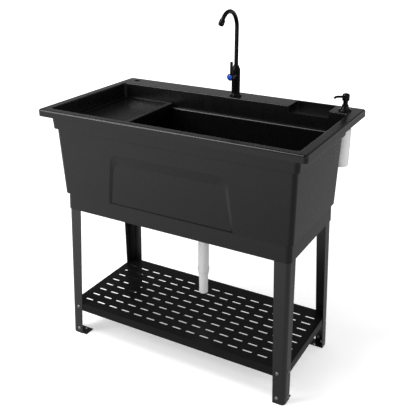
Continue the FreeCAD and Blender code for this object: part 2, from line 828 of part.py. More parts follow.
def make_foot_brackets():
    """One bracket in the foot of each leg, turned a quarter from each corner to the next."""
    front_left = foot_bracket("foot_bracket_front_left")
    turned = foot_bracket("foot_bracket_turned", turned=True)
    front_right = mirrored("foot_bracket_front_right", turned, "left to right")
    back_left = mirrored("foot_bracket_back_left", turned, "front to back")
    beside = mirrored("foot_bracket_beside", front_left, "left to right")
    back_right = mirrored("foot_bracket_back_right", beside, "front to back")
    return [front_left, front_right, back_left, back_right]


def foot_bracket(label, turned=False):
    """A floor plate in the front left corner, longer along one flange, with a tab up each flange."""
    foot = Piece(label)
    inset = "leg_steel + shelf_gap"

    def at(along, across, *radius):
        inward = (across, along) if turned else (along, across)
        return leg_point("left", "front", "0", *inward) + radius

    plate = [at(inset, inset, "leg_round - leg_steel"), at("foot_width", inset),
             at("foot_width", "foot_depth"), at(inset, "foot_depth")]
    foot.pad(foot.drawn(plate), "foot_steel")
    tabs = leg_angle(foot, "left", "front", "0", "foot_tab_width", inset, "foot_steel")
    foot.lean(tabs, "foot_tab_height", leg_direction("left", "front"))
    drill_corner(foot, ["foot_bolt_height"])
    anchor = foot.sketch(offset="foot_steel")
    circle(anchor, *leg_point("left", "front", "0", "anchor_inset", "anchor_inset"), "anchor_radius")
    foot.pocket(anchor, "foot_steel")
    return foot.body


def slot(sketch, x, y):
    """Add one of the shelf's slots, with its corners cut off, centred on a point."""
    end = "slot_length / 2"
    side = "slot_width / 2"
    corners = [(end, f"slot_corner - {side}"), (end, f"{side} - slot_corner"), (f"{end} - slot_corner", side),
               (f"slot_corner - {end}", side), (f"0 - {end}", f"{side} - slot_corner"),
               (f"0 - {end}", f"slot_corner - {side}"), (f"slot_corner - {end}", f"0 - {side}"),
               (f"{end} - slot_corner", f"0 - {side}")]
    outline(sketch, [(f"({x}) + {along}", f"({y}) + {across}") for along, across in corners])


def shelf_outline(shelf, height, inset):
    """The shelf's outline inside the splayed legs at a height."""
    margin = f"leg_steel + shelf_gap + ({inset})"
    left, front = leg_point("left", "front", height, margin, margin)
    right, back = leg_point("right", "back", height, margin, margin)
    return shelf.drawn(box_corners(left, right, front, back, f"leg_round - ({inset})"), offset=height)


def make_shelf():
    """The perforated shelf: a shallow tray of folded steel, open below, with a grid of slots."""
    shelf = Piece("shelf_panel")
    shelf.loft(shelf_outline(shelf, "shelf_height", "0"), shelf_outline(shelf, "shelf_bottom", "0"))
    shelf.loft(shelf_outline(shelf, "shelf_height - shelf_steel", "shelf_steel"),
               shelf_outline(shelf, "shelf_bottom", "shelf_steel"), cuts=True)
    front = shelf.sketch("XZ_Plane", "0 - leg_front")
    left = shelf.sketch("YZ_Plane", "0 - leg_half")
    for side, end in CORNERS:
        x, y = leg_point(side, end, "shelf_bolt_height", "bolt_inset", "bolt_inset")
        if end == "front":
            circle(front, x, "shelf_bolt_height", "bolt_hole")
        if side == "left":
            circle(left, y, "shelf_bolt_height", "bolt_hole")
    shelf.pocket(front)
    shelf.pocket(left, upwards=True)
    column = shelf.sketch(offset="shelf_height")
    rows = int(number("slot_rows"))
    for row in range(rows):
        slot(column, "slot_first_x", f"slot_first_y + slot_row_step * {row}")
    first = shelf.pocket(column, "shelf_flange / 2")
    shelf.row(first, "X_Axis", "0 - 2 * slot_first_x", "slot_columns")
    return shelf.body


def make_fasteners(kind, height, grip):
    """Bolts with their nuts at one height: two in each corner, one through each flange."""
    bolts = []
    nuts = []
    places = (("front", (1, 0, 0), leg_point("left", "front", height, "bolt_inset", "0")),
              ("side", (0, -1, 0), leg_point("left", "front", height, "0", "bolt_inset")))
    for name, axis, (x, y) in places:
        bolt = Piece(f"{kind}_bolt_{name}", x, y, height, axis, "90 deg - splay_angle")
        bolt.turn([("0", "0 - bolt_length"), ("bolt_radius", "0 - bolt_length"), ("bolt_radius", "0"),
                   ("bolt_head_radius", "0"), ("bolt_head_radius * 0.7", "bolt_head_height"),
                   ("0", "bolt_head_height")])
        nut = Piece(f"{kind}_nut_{name}", x, y, height, axis, "90 deg - splay_angle")
        hexagon = nut.sketch(offset=f"0 - ({grip}) - nut_height")
        outline(hexagon, polygon(6, "nut_radius"))
        circle(hexagon, "0", "0", "bolt_radius + shelf_gap")
        nut.pad(hexagon, "nut_height")
        bolts.append(bolt.body)
        nuts.append(nut.body)
    return [spread(f"{kind}_bolts", bolts), spread(f"{kind}_nuts", nuts)]


def polygon(count, radius):
    """The corners of a regular polygon round the origin."""
    step = 360 / count
    return [(f"({radius}) * cos({index * step})", f"({radius}) * sin({index * step})")
            for index in range(count)]


def spread(label, pieces):
    """One node from pieces in the front left corner and their mirror copies in the other three."""
    corner = group(f"{label}_corner", pieces)
    front = group(f"{label}_front", [corner, mirrored(f"{label}_right", corner, "left to right")])
    return group(label, [front, mirrored(f"{label}_back", front, "front to back")])


def group(label, pieces):
    made = DOC.addObject("Part::Compound", label)
    made.Label = label
    made.Links = pieces
    return made


def make_tray():
    """The drain tray: a board that falls to a pierced gutter, with a lip that rests on the ledge."""
    tray = Piece("sliding_drain_tray")
    inside = "tray_pan_inset"
    whole = ("tray_left", "tray_right", "tray_front", "tray_back")
    tray.pad(tray.drawn(box_corners(*whole, "tray_corner"), offset="ledge_height"), "tray_rise")
    tray.round_edges("tray_round", flat_at("tray_top"))
    pan = box_corners(f"tray_left + {inside}", f"tray_right - {inside}", f"tray_front + {inside}",
                      f"tray_back - {inside}", "tray_corner / 2")
    tray.pad(tray.drawn(pan, offset="tray_bottom"), "tray_depth - tray_rise")
    lip = tray.sketch(offset="ledge_height")
    outline(lip, box_corners("tray_left + tray_wall", "tray_right - tray_wall", "tray_front + tray_wall",
                             "tray_back - tray_wall", "tray_corner - tray_wall"))
    outline(lip, pan)
    tray.pocket(lip, "tray_rise - tray_wall", upwards=True)
    board = tray.drawn([("board_left", "board_top"), ("gutter_right", "board_low"),
                        ("gutter_right", "tray_top + tray_wall"), ("board_left", "tray_top + tray_wall")],
                       "XZ_Plane", "0 - tray_front - tray_rim")
    tray.pocket(board, "tray_back - tray_front - 2 * tray_rim")
    gutter = box_corners("gutter_left", "gutter_right", "tray_front + tray_rim", "tray_back - tray_rim")
    tray.pocket(tray.drawn(gutter, offset="tray_top"), "tray_depth - tray_wall")
    under = box_corners(f"tray_left + {inside} + tray_wall", "gutter_left - tray_wall",
                        f"tray_front + {inside} + tray_wall", f"tray_back - {inside} - tray_wall",
                        "tray_corner / 3")
    tray.pocket(tray.drawn(under, offset="tray_bottom"), "board_low - tray_wall - tray_bottom", upwards=True)
    hole = tray.sketch(offset="tray_bottom + tray_wall")
    first_hole = "tray_front + tray_rim + tray_hole_margin"
    circle(hole, "(gutter_left + gutter_right) / 2", first_hole, "tray_hole_radius")
    drilled = tray.pocket(hole, "tray_wall")
    tray.row(drilled, "Y_Axis", f"tray_back - tray_rim - tray_hole_margin - ({first_hole})", "tray_holes")
    return tray.body


def make_drain():
    """The drain under the floor: cup, gasket, nuts, basket with its stopper, and two pipes."""
    def at_drain(label):
        return Piece(label, "drain_x", "drain_y")

    flange_top = "drain_floor + cup_flange_height"
    cup_bore = "cup_radius - cup_wall"
    cup_floor = "cup_bottom + cup_wall"
    cup = at_drain("drain_body")
    cup.turn([("neck_bore", "neck_bottom"), ("neck_radius", "neck_bottom"), ("neck_radius", "cup_bottom"),
              ("cup_radius", "cup_bottom"), ("cup_radius", "drain_floor"),
              ("cup_flange_radius", "drain_floor"), ("cup_flange_radius", f"{flange_top} - small_bevel"),
              ("cup_flange_radius - cup_flange_bevel", flange_top),
              (cup_bore, flange_top), (cup_bore, cup_floor), ("neck_bore", cup_floor)])

    gasket = at_drain("drain_gasket")
    gasket.turn(box_corners("cup_hole", "gasket_radius", "gasket_bottom", "tub_bottom"))
    nut = at_drain("drain_lock_nut")
    nut.turn(box_corners("cup_hole", "gasket_radius", "drain_nut_bottom", "gasket_bottom"))
    grip = nut.sketch(offset="gasket_bottom")
    circle(grip, "gasket_radius + grip_shift", "0", "drain_nut_grip")
    nut.ring(nut.pocket(grip, "drain_nut_height"), "drain_nut_grips")

    basket = at_drain("strainer_basket")
    wall = "basket_radius - basket_wall"
    foot = "basket_top - basket_depth"
    shelf = f"{foot} + basket_wall"
    lip = f"{cup_bore} - basket_gap"
    knob_top = "basket_top + basket_knob_rise"
    basket.turn([("0", foot), ("basket_radius - basket_bevel", foot),
                 ("basket_radius", f"{foot} + basket_bevel"),
                 ("basket_radius", "basket_top - basket_wall"), (lip, "basket_top - basket_wall"),
                 (lip, "basket_top"), (wall, "basket_top"), (wall, shelf), ("basket_knob_stem", shelf),
                 ("basket_knob_stem", "basket_top - basket_knob_stem"),
                 ("basket_knob_radius", "basket_top - small_bevel"),
                 ("basket_knob_radius", f"{knob_top} - basket_knob_bevel"),
                 ("basket_knob_radius - basket_knob_bevel", knob_top), ("0", knob_top)])
    opening = basket.sketch(offset=shelf)
    outline(opening, box_corners("stopper_radius + basket_knob_bevel", "basket_radius - basket_slot_margin",
                                 "0 - basket_slot_width / 2", "basket_slot_width / 2"))
    basket.ring(basket.pocket(opening, "basket_wall"), "basket_slots")
    stopper = at_drain("strainer_stopper")
    stopper.turn([("0", cup_floor), ("stopper_radius - small_bevel", cup_floor),
                  ("stopper_radius", f"{cup_floor} + small_bevel"), ("stopper_radius", foot), ("0", foot)])

    tail_top = "neck_bottom - washer_height"
    washer = at_drain("tailpiece_washer")
    washer.turn(box_corners("tail_bore", "neck_radius", tail_top, "neck_bottom"))
    tail = at_drain("drain_tailpiece")
    flange = f"{tail_top} - tail_flange"
    tail.turn([("tail_bore", "tail_end"), ("tail_radius", "tail_end"), ("tail_radius", flange),
               ("neck_radius", flange), ("neck_radius", tail_top), ("tail_bore", tail_top)])
    coupling = at_drain("tailpiece_nut")
    coupling_top = "neck_bottom + coupling_reach"
    coupling.turn([("tail_radius + thread_gap", f"{flange} - coupling_lip"),
                   ("coupling_radius", f"{flange} - coupling_lip"), ("coupling_radius", coupling_top),
                   ("neck_radius + thread_gap", coupling_top), ("neck_radius + thread_gap", flange),
                   ("tail_radius + thread_gap", flange)])
    slip_bottom = "tail_end - slip_washer_height - slip_nut_lip"
    slip_washer = at_drain("slip_joint_washer")
    slip_washer.turn([("pipe_radius", "tail_end - slip_washer_height"),
                      ("tail_radius", "tail_end - slip_washer_height"), ("tail_radius", "tail_end"),
                      ("pipe_radius", "tail_end")])
    slip_nut = at_drain("slip_joint_nut")
    slip_nut.turn([("pipe_radius + thread_gap", slip_bottom), ("slip_nut_foot", slip_bottom),
                   ("slip_nut_foot", f"{slip_bottom} + slip_nut_ring"),
                   ("slip_nut_radius", f"{slip_bottom} + slip_nut_lip"),
                   ("slip_nut_radius", f"{slip_bottom} + slip_nut_height"),
                   ("tail_radius + thread_gap", f"{slip_bottom} + slip_nut_height"),
                   ("tail_radius + thread_gap", "tail_end - slip_washer_height"),
                   ("pipe_radius + thread_gap", "tail_end - slip_washer_height")])
    pipe = at_drain("lower_drain_pipe")
    pipe.turn(box_corners("pipe_radius - pipe_wall", "pipe_radius", "pipe_end", "pipe_top"))
    add_relief(pipe, "pipe_radius", "outlet_relief")
    return [piece.body for piece in (cup, gasket, nut, basket, stopper, washer, tail, coupling,
                                     slip_washer, slip_nut, pipe)]


def add_relief(pipe, radius, height):
    """A shallow groove that ends the free stretch of a pipe, to which its fitting slides on."""
    pipe.turn(box_corners(f"{radius} - relief_depth", f"{radius} + relief_depth", height,
                          f"{height} + relief_width"), cuts=True)


def make_tap():
    """The tap: base, body with its handle boss, spout with its aerator, and what holds it down."""
    def at_tap(label, *tilt):
        return Piece(label, "tap_x", "tap_y", "0", *tilt)

    shank_hole = "shank_radius + thread_gap"
    base = at_tap("tap_base_flange")
    base_edge = "rim_height + tap_base_edge"
    base.turn([(shank_hole, "rim_height"), ("tap_base_radius", "rim_height"), ("tap_base_radius", base_edge),
               ("tap_base_radius - tap_base_bevel", f"{base_edge} + tap_base_bevel / 2"),
               ("tap_radius", "tap_foot"), (shank_hole, "tap_foot")])
    body = at_tap("tap_body")
    floor = "tap_foot + tap_floor"
    roof = "tap_top - tap_roof"
    body.turn([(shank_hole, "tap_foot"), ("tap_radius", "tap_foot"), ("tap_radius", "tap_top"),
               ("spout_hole", "tap_top"), ("spout_hole", roof), ("tap_bore", roof), ("tap_bore", floor),
               (shank_hole, floor)])
    boss = body.sketch("XZ_Plane")
    circle(boss, "0", "handle_axis", "boss_radius")
    body.pad(boss, "boss_reach")
    socket = body.sketch("XZ_Plane", "boss_reach")
    circle(socket, "0", "handle_axis", "cartridge_radius + running_gap")
    body.pocket(socket, "boss_reach - boss_floor")
    shank = at_tap("tap_shank")
    shank.turn(box_corners("shank_bore", "shank_radius", "shank_bottom", floor))
    add_relief(shank, "shank_radius", "inlet_relief")
    washer = at_tap("tap_washer")
    washer.turn(box_corners(shank_hole, "washer_radius", "washer_bottom", "deck_underside"))
    nut = at_tap("tap_lock_nut")
    hexagon = nut.sketch(offset="washer_bottom - lock_nut_height")
    outline(hexagon, polygon(6, "lock_nut_radius"))
    circle(hexagon, "0", "0", shank_hole)
    nut.pad(hexagon, "lock_nut_height")

    collar = at_tap("spout_collar")
    neck = "spout_radius + collar_wall"
    collar.turn([("spout_hole", "tap_top"), ("tap_radius", "tap_top"),
                 ("tap_radius", "tap_top + collar_edge"), (neck, "collar_top - collar_edge"),
                 (neck, "collar_top"), ("spout_hole", "collar_top")])
    spout = at_tap("spout_tube")
    spout.sweep(spout_section(spout), spout_path(spout))
    outlet_y = "tap_y - spout_bend + spout_bend * cos(spout_turn) - aerator_grip * sin(spout_turn)"
    outlet_z = "spout_corner + spout_bend * sin(spout_turn) + aerator_grip * cos(spout_turn)"
    aerator = Piece("spout_aerator", "tap_x", outlet_y, outlet_z, (1, 0, 0), "spout_turn * 1 deg")
    top = "0 - aerator_grip"
    end = f"{top} + aerator_length"
    outlet = "aerator_radius - aerator_lip"
    aerator.turn([("spout_hole", top), ("aerator_radius", f"{top} + aerator_bevel"),
                  ("aerator_radius", f"{end} - 2 * aerator_bevel"), ("aerator_radius - small_bevel", end),
                  (outlet, end), (outlet, "aerator_bevel"), ("spout_bore", "aerator_bevel"),
                  ("spout_bore", "0"), ("spout_hole", "0")])
    return [piece.body for piece in (base, body, shank, washer, nut, collar, spout, aerator)]


def spout_section(spout):
    """The tube's wall at the foot of the spout."""
    section = spout.sketch(offset="spout_bottom")
    circle(section, "0", "0", "spout_radius")
    circle(section, "0", "0", "spout_bore")
    return section


def spout_path(spout):
    """Straight up, over in one arc, and a short straight end for the aerator."""
    path = spout.sketch("YZ_Plane")
    foot = FreeCAD.Vector(0, number("spout_bottom"), 0)
    corner = FreeCAD.Vector(0, number("spout_corner"), 0)
    bend = number("spout_bend")
    turn = math.radians(number("spout_turn"))
    centre = corner - FreeCAD.Vector(bend, 0, 0)
    end = centre + FreeCAD.Vector(math.cos(turn), math.sin(turn), 0) * bend
    tip = end + FreeCAD.Vector(-math.sin(turn), math.cos(turn), 0) * number("aerator_grip")
    riser = path.addGeometry(Part.LineSegment(foot, corner), False)
    whole = Part.Circle(centre, FreeCAD.Vector(0, 0, 1), bend)
    arc = path.addGeometry(Part.ArcOfCircle(whole, 0, turn), False)
    straight = path.addGeometry(Part.LineSegment(end, tip), False)
    hold(path, riser, 1, "0", "spout_bottom")
    hold(path, riser, 2, "0", "spout_corner")
    path.addConstraint(Sketcher.Constraint("Tangent", riser, 2, arc, 1))
    path.addConstraint(Sketcher.Constraint("Tangent", arc, 2, straight, 1))
    fix_radius(path, arc, "spout_bend")
    hold(path, straight, 2, "spout_bend * cos(spout_turn) - spout_bend - aerator_grip * sin(spout_turn)",
         "spout_corner + spout_bend * sin(spout_turn) + aerator_grip * cos(spout_turn)")
    return path


def make_handle():
    """The quarter-turn handle on the boss: cartridge, spindle, hub, lever and coloured index."""
    def on_axis(label):
        return Piece(label, "tap_x", "tap_y", "handle_axis", (1, 0, 0), "90 deg")

    spindle_hole = "spindle_radius + running_gap"
    cartridge = on_axis("tap_cartridge")
    cartridge.turn([("0", "boss_floor"), ("cartridge_radius", "boss_floor"),
                    ("cartridge_radius", "boss_reach"), (spindle_hole, "boss_reach"),
                    (spindle_hole, "spindle_back"), ("0", "spindle_back")])
    spindle = on_axis("handle_spindle")
    spindle.turn(box_corners("0", "spindle_radius", "spindle_back", "spindle_front"))
    hub = on_axis("handle_hub")
    index_hole = "index_radius + thread_gap"
    index_back = "hub_front - index_sink"
    hub.turn([("spindle_radius", "hub_back"), ("hub_radius - small_bevel", "hub_back"),
              ("hub_radius", "hub_back + small_bevel"), ("hub_radius", "hub_front - hub_bevel"),
              ("hub_radius - hub_bevel", "hub_front"), (index_hole, "hub_front"), (index_hole, index_back),
              ("0", index_back), ("0", "spindle_front"), ("spindle_radius", "spindle_front")])
    seat = hub.drawn(box_corners("0 - lever_width / 2 - running_gap", "lever_width / 2 + running_gap",
                                 "lever_back - running_gap", "lever_back + lever_thickness + running_gap"),
                     "XZ_Plane", "0 - hub_radius")
    hub.pocket(seat, "hub_radius - lever_root", upwards=True)
    lever = Piece("handle_lever", "tap_x", "tap_y", "handle_axis")
    blade = lever.drawn([("0 - lever_width / 2", "lever_root"), ("lever_width / 2", "lever_root"),
                         ("lever_width / 2", "lever_length", "lever_width * 0.4"),
                         ("0 - lever_width / 2", "lever_length", "lever_width * 0.4")],
                        "XZ_Plane", "lever_back")
    lever.pad(blade, "lever_thickness")
    index = on_axis("handle_index_cap")
    index_front = "hub_front + index_height"
    index.turn([("0", index_back), ("index_radius", index_back), ("index_radius", "hub_front"),
                ("index_radius - index_bevel", "hub_front + index_height * 0.7"),
                ("index_radius / 2", index_front), ("0", index_front)])
    return [piece.body for piece in (cartridge, spindle, hub, lever, index)]


def make_dispenser():
    """The soap dispenser: flange and pump above the deck, shank, nut and bottle below it."""
    def at_soap(label):
        return Piece(label, "soap_x", "soap_y")

    flange = at_soap("dispenser_flange")
    flange_top = "rim_height + soap_flange_height"
    flange.turn([("pump_hole", "rim_height"), ("soap_flange_radius", "rim_height"),
                 ("soap_flange_radius", f"{flange_top} - soap_flange_bevel"),
                 ("soap_flange_radius - soap_flange_bevel", flange_top),
                 ("soap_neck_radius + soap_flange_step", f"{flange_top} + soap_flange_step / 2"),
                 ("soap_neck_radius", "soap_cone_top - soap_flange_step"),
                 ("soap_neck_radius", "soap_cone_top"), ("pump_hole", "soap_cone_top")])
    shank = at_soap("dispenser_shank")
    shank.turn([("dip_radius + thread_gap", "soap_shank_bottom"), ("soap_shank_radius", "soap_shank_bottom"),
                ("soap_shank_radius", "rim_height"), ("soap_bore", "rim_height"),
                ("soap_bore", "spring_seat"), ("dip_radius + thread_gap", "spring_seat")])
    nut = at_soap("dispenser_nut")
    nut.turn(box_corners("soap_shank_radius + thread_gap", "soap_nut_radius",
                          "deck_underside - soap_nut_height", "deck_underside"))
    grip = nut.sketch(offset="deck_underside")
    circle(grip, "soap_nut_radius + small_bevel", "0", "soap_nut_grip")
    nut.ring(nut.pocket(grip, "soap_nut_height"), "soap_nut_grips")

    stem = at_soap("pump_stem")
    stem_top = "pump_head_bottom + pump_head_seat"
    stem.turn([("nozzle_bore", "pump_foot_bottom"), ("pump_foot_radius", "pump_foot_bottom"),
               ("pump_foot_radius", "pump_foot_top"), ("pump_radius", "pump_foot_top"),
               ("pump_radius", stem_top), ("nozzle_bore", stem_top)])
    head = Piece("pump_head", "soap_x", "soap_y", "0", (0, 0, 1), "nozzle_heading * 1 deg")
    top = "pump_head_bottom + pump_head_height"
    head.turn([("0", stem_top), ("pump_hole", stem_top), ("pump_hole", "pump_head_bottom"),
               ("pump_head_radius - small_bevel", "pump_head_bottom"),
               ("pump_head_radius", "pump_head_bottom + small_bevel"),
               ("pump_head_radius", f"{top} - pump_head_crown"),
               ("pump_head_radius - 2 * small_bevel", f"{top} - pump_head_crown / 3"),
               ("pump_head_radius / 2", top), ("0", top)])
    head.sweep(*nozzle_parts(head, "nozzle_radius"))
    head.sweep(*nozzle_parts(head, "nozzle_bore"), cuts=True)
    spring = at_soap("pump_spring")
    spring.turn(box_corners("spring_radius - spring_wire", "spring_radius", "spring_seat",
                            "pump_foot_bottom"))

    bottle = at_soap("dispenser_bottle")
    neck = "soap_shank_radius + thread_gap"
    inside = "bottle_radius - bottle_wall"
    floor = "bottle_bottom + bottle_wall"
    slope = "bottle_shoulder - bottle_slope"
    bottle.turn([("0", "bottle_bottom"), ("bottle_radius - bottle_bevel", "bottle_bottom"),
                 ("bottle_radius", "bottle_bottom + bottle_bevel"), ("bottle_radius", slope),
                 (f"{neck} + bottle_wall", "bottle_shoulder"), (f"{neck} + bottle_wall", "bottle_top"),
                 (neck, "bottle_top"), (neck, "bottle_shoulder"), (inside, f"{slope} - bottle_wall"),
                 (inside, f"{floor} + bottle_bevel"), (f"{inside} - bottle_bevel", floor), ("0", floor)])
    dip = at_soap("dispenser_dip_tube")
    dip.turn(box_corners("dip_radius - dip_wall", "dip_radius", "bottle_bottom + dip_clear", "spring_seat"))
    return [piece.body for piece in (flange, shank, nut, stem, head, spring, bottle, dip)]


def nozzle_parts(head, radius):
    """A round section inside the head, and the path that it follows out and down."""
    start = "pump_head_radius / 2"
    section = head.sketch("YZ_Plane", start)
    circle(section, "0", "nozzle_height", radius)
    path = head.sketch("XZ_Plane")
    bend = number("nozzle_bend")
    droop = math.radians(number("nozzle_droop"))
    foot = FreeCAD.Vector(number(start), number("nozzle_height"), 0)
    corner = FreeCAD.Vector(number("nozzle_reach") - bend * math.sin(droop), foot.y, 0)
    centre = corner - FreeCAD.Vector(0, bend, 0)
    whole = Part.Circle(centre, FreeCAD.Vector(0, 0, 1), bend)
    level = path.addGeometry(Part.LineSegment(foot, corner), False)
    arc = path.addGeometry(Part.ArcOfCircle(whole, math.pi / 2 - droop, math.pi / 2), False)
    hold(path, level, 1, start, "nozzle_height")
    path.addConstraint(Sketcher.Constraint("Horizontal", level))
    path.addConstraint(Sketcher.Constraint("Tangent", level, 2, arc, 2))
    fix_radius(path, arc, "nozzle_bend")
    hold(path, arc, 1, "nozzle_reach", "nozzle_height - nozzle_bend * (1 - cos(nozzle_droop))")
    return section, path


def write_parts(nodes):
    """Check every object of the document, then write each node's solids under its own name."""
    DOC.recompute()
    for thing in DOC.Objects:
        if "Invalid" in thing.State or "Error" in thing.State:
            raise RuntimeError(f"{thing.Label} did not build: {thing.State}")
    for node in nodes:
        if node.Shape.isNull() or not node.Shape.isValid() or not node.Shape.Solids:
            raise RuntimeError(f"{node.Label} has no valid solid")
    os.makedirs("parts", exist_ok=True)
    for node in nodes:
        node.Shape.exportStep(f"parts/{node.Label}.step")
        print(f"{node.Label}: {len(node.Shape.Solids)} solid, {node.Shape.Volume / 1000:.1f} cm3")


write_parts([make_tub(), make_tray(), *make_drain(), *make_legs(), *make_foot_brackets(), make_shelf(),
             *make_fasteners("shelf", "shelf_bolt_height", "leg_steel + shelf_gap + shelf_steel"),
             *make_fasteners("foot", "foot_bolt_height", "leg_steel + shelf_gap + foot_steel"),
             *make_tap(), *make_handle(), *make_dispenser()])
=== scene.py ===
"""A black utility sink in a white studio: finishes, fine fittings, floor, lamps and camera.

Metres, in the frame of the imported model: X along the front, Y towards the wall, Z up.
"""
import bmesh
import bpy
import math
from mathutils import Matrix, Vector


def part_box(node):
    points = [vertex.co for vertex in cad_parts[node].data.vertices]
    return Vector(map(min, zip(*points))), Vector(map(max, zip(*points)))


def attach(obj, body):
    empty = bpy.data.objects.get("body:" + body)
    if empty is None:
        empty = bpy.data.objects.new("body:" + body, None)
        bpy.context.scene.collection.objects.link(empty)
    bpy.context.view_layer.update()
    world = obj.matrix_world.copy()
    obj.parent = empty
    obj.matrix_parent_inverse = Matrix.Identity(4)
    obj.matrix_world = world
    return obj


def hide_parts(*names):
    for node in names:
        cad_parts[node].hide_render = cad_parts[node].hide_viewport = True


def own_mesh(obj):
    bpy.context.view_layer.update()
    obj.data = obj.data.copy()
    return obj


MM = 0.001
UP = Vector((0, 0, 1))
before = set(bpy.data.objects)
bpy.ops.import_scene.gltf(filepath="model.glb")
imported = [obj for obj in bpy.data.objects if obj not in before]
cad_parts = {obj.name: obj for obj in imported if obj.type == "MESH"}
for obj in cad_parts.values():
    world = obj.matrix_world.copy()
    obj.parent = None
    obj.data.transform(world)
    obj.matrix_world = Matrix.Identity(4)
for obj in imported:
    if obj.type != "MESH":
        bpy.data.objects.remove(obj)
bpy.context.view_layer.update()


# ---------------------------------------------------------------- node trees

def wire(tree, source, target):
    """Join two sockets, or set the target if the source is a plain value."""
    if isinstance(source, bpy.types.NodeSocket):
        tree.links.new(source, target)
    else:
        target.default_value = source


def add(tree, kind, inputs=(), **settings):
    """A node with its settings and inputs; returns the node."""
    node = tree.nodes.new(kind)
    for name, value in settings.items():
        setattr(node, name, value)
    for name, value in dict(inputs).items():
        wire(tree, value, node.inputs[name])
    return node


def calculate(tree, operation, *values, clamp=False):
    node = tree.nodes.new("ShaderNodeMath")
    node.operation = operation
    node.use_clamp = clamp
    for index, value in enumerate(values):
        wire(tree, value, node.inputs[index])
    return node.outputs[0]


def scaled(tree, value, factor):
    return calculate(tree, "MULTIPLY", value, factor)


def swing(tree, value, spread):
    """A noise value turned into a change of up to the spread, up or down."""
    centred = calculate(tree, "SUBTRACT", value, 0.5)
    return scaled(tree, scaled(tree, centred, spread), 2.0)


def blend_colours(tree, amount, first, second):
    node = tree.nodes.new("ShaderNodeMix")
    node.data_type = "RGBA"
    for index, value in ((0, amount), (6, first), (7, second)):
        wire(tree, value, node.inputs[index])
    return node.outputs[2]


def spread_between(tree, value, low, high, start, end):
    """Map a value's range to another range, held at both ends."""
    return add(tree, "ShaderNodeMapRange", {"Value": value, "From Min": low, "From Max": high,
                                            "To Min": start, "To Max": end}).outputs[0]


def object_place(tree):
    return add(tree, "ShaderNodeTexCoord").outputs["Object"]


def noise(tree, place, scale, detail, roughness):
    return add(tree, "ShaderNodeTexNoise", {"Vector": place, "Scale": scale, "Detail": detail,
                                            "Roughness": roughness}).outputs["Fac"]


COLOUR = "NodeSocketColor"
FLOAT = "NodeSocketFloat"
VECTOR = "NodeSocketVector"


def start_group(name, inputs, outputs):
    """An empty shader group with named sockets; returns its tree, its inputs and its results."""
    tree = bpy.data.node_groups.new(name, "ShaderNodeTree")
    for label, kind, value in inputs:
        socket = tree.interface.new_socket(label, in_out="INPUT", socket_type=kind)
        socket.default_value = value
    for label, kind in outputs:
        tree.interface.new_socket(label, in_out="OUTPUT", socket_type=kind)
    given = tree.nodes.new("NodeGroupInput").outputs
    result = tree.nodes.new("NodeGroupOutput").inputs
    return tree, given, result


CLOUD_SCALE = 7.0
PATCH_SCALE = 38.0
GRAIN_SHARE = 0.4
CLOUD_SHARE = 0.6


def make_grain_group():
    """Fine grain with soft clouds: what a mould's texture or a powder coat leaves on a surface."""
    tree, given, result = start_group(
        "fine_grain",
        [("Colour", COLOUR, (0.03, 0.03, 0.03, 1)), ("Shade Spread", FLOAT, 0.15),
         ("Grain Scale", FLOAT, 1500.0), ("Roughness", FLOAT, 0.45), ("Roughness Spread", FLOAT, 0.08)],
        [("Colour", COLOUR), ("Roughness", FLOAT), ("Height", FLOAT)])
    place = object_place(tree)
    grain = noise(tree, place, given["Grain Scale"], detail=3.0, roughness=0.6)
    cloud = noise(tree, place, CLOUD_SCALE, detail=4.0, roughness=0.55)
    patch = noise(tree, place, PATCH_SCALE, detail=3.0, roughness=0.6)
    shade = calculate(tree, "ADD", scaled(tree, grain, GRAIN_SHARE), scaled(tree, cloud, CLOUD_SHARE))
    factor = calculate(tree, "ADD", 1.0, swing(tree, shade, given["Shade Spread"]))
    colour = add(tree, "ShaderNodeVectorMath", {0: given["Colour"], "Scale": factor}, operation="SCALE")
    wire(tree, colour.outputs[0], result["Colour"])
    change = swing(tree, patch, given["Roughness Spread"])
    wire(tree, calculate(tree, "ADD", given["Roughness"], change), result["Roughness"])
    wire(tree, grain, result["Height"])
    return tree


# How well a rounded normal agrees with the true one, on a sharp edge and on a flat.
SHARP_MATCH = 0.86
FLAT_MATCH = 0.995
# How much of the space round a point is open, deep in a corner and out of it.
CORNER_OPEN = 0.35
CLEAR_OPEN = 0.95
EDGE_NOISE_SCALE = 160.0
HOLLOW_NOISE_SCALE = 60.0


def make_edge_and_hollow_group():
    """A mask for outer edges, which carry a painted highlight, and one for hollow corners, which carry
    painted shade on most finishes and dust on a few.
    """
    tree, given, result = start_group(
        "edges_and_hollows", [("Edge Width", FLOAT, 0.002), ("Hollow Reach", FLOAT, 0.02)],
        [("Edge", FLOAT), ("Hollow", FLOAT)])
    place = object_place(tree)
    rounded = add(tree, "ShaderNodeBevel", {"Radius": given["Edge Width"]}, samples=4)
    true_normal = add(tree, "ShaderNodeNewGeometry").outputs["Normal"]
    match = add(tree, "ShaderNodeVectorMath", {0: rounded.outputs[0], 1: true_normal},
                operation="DOT_PRODUCT")
    bend = spread_between(tree, match.outputs["Value"], SHARP_MATCH, FLAT_MATCH, start=1.0, end=0.0)
    # The edge mask, broken up by noise, marks where a painted highlight goes.
    edge_noise = noise(tree, place, EDGE_NOISE_SCALE, detail=4.0, roughness=0.6)
    patchy_edge = spread_between(tree, edge_noise, low=0.35, high=0.62, start=0.60, end=1.0)
    wire(tree, scaled(tree, bend, patchy_edge), result["Edge"])
    # The hollow mask, made uneven by noise, marks where painted shade and dust go.
    closed = add(tree, "ShaderNodeAmbientOcclusion", {"Distance": given["Hollow Reach"]}, samples=6)
    shut = spread_between(tree, closed.outputs["AO"], CORNER_OPEN, CLEAR_OPEN, start=1.0, end=0.0)
    hollow_noise = noise(tree, place, HOLLOW_NOISE_SCALE, detail=5.0, roughness=0.6)
    uneven = spread_between(tree, hollow_noise, low=0.3, high=0.7, start=0.35, end=1.0)
    wire(tree, scaled(tree, shut, uneven), result["Hollow"])
    return tree


STREAK_SCALE = 120.0


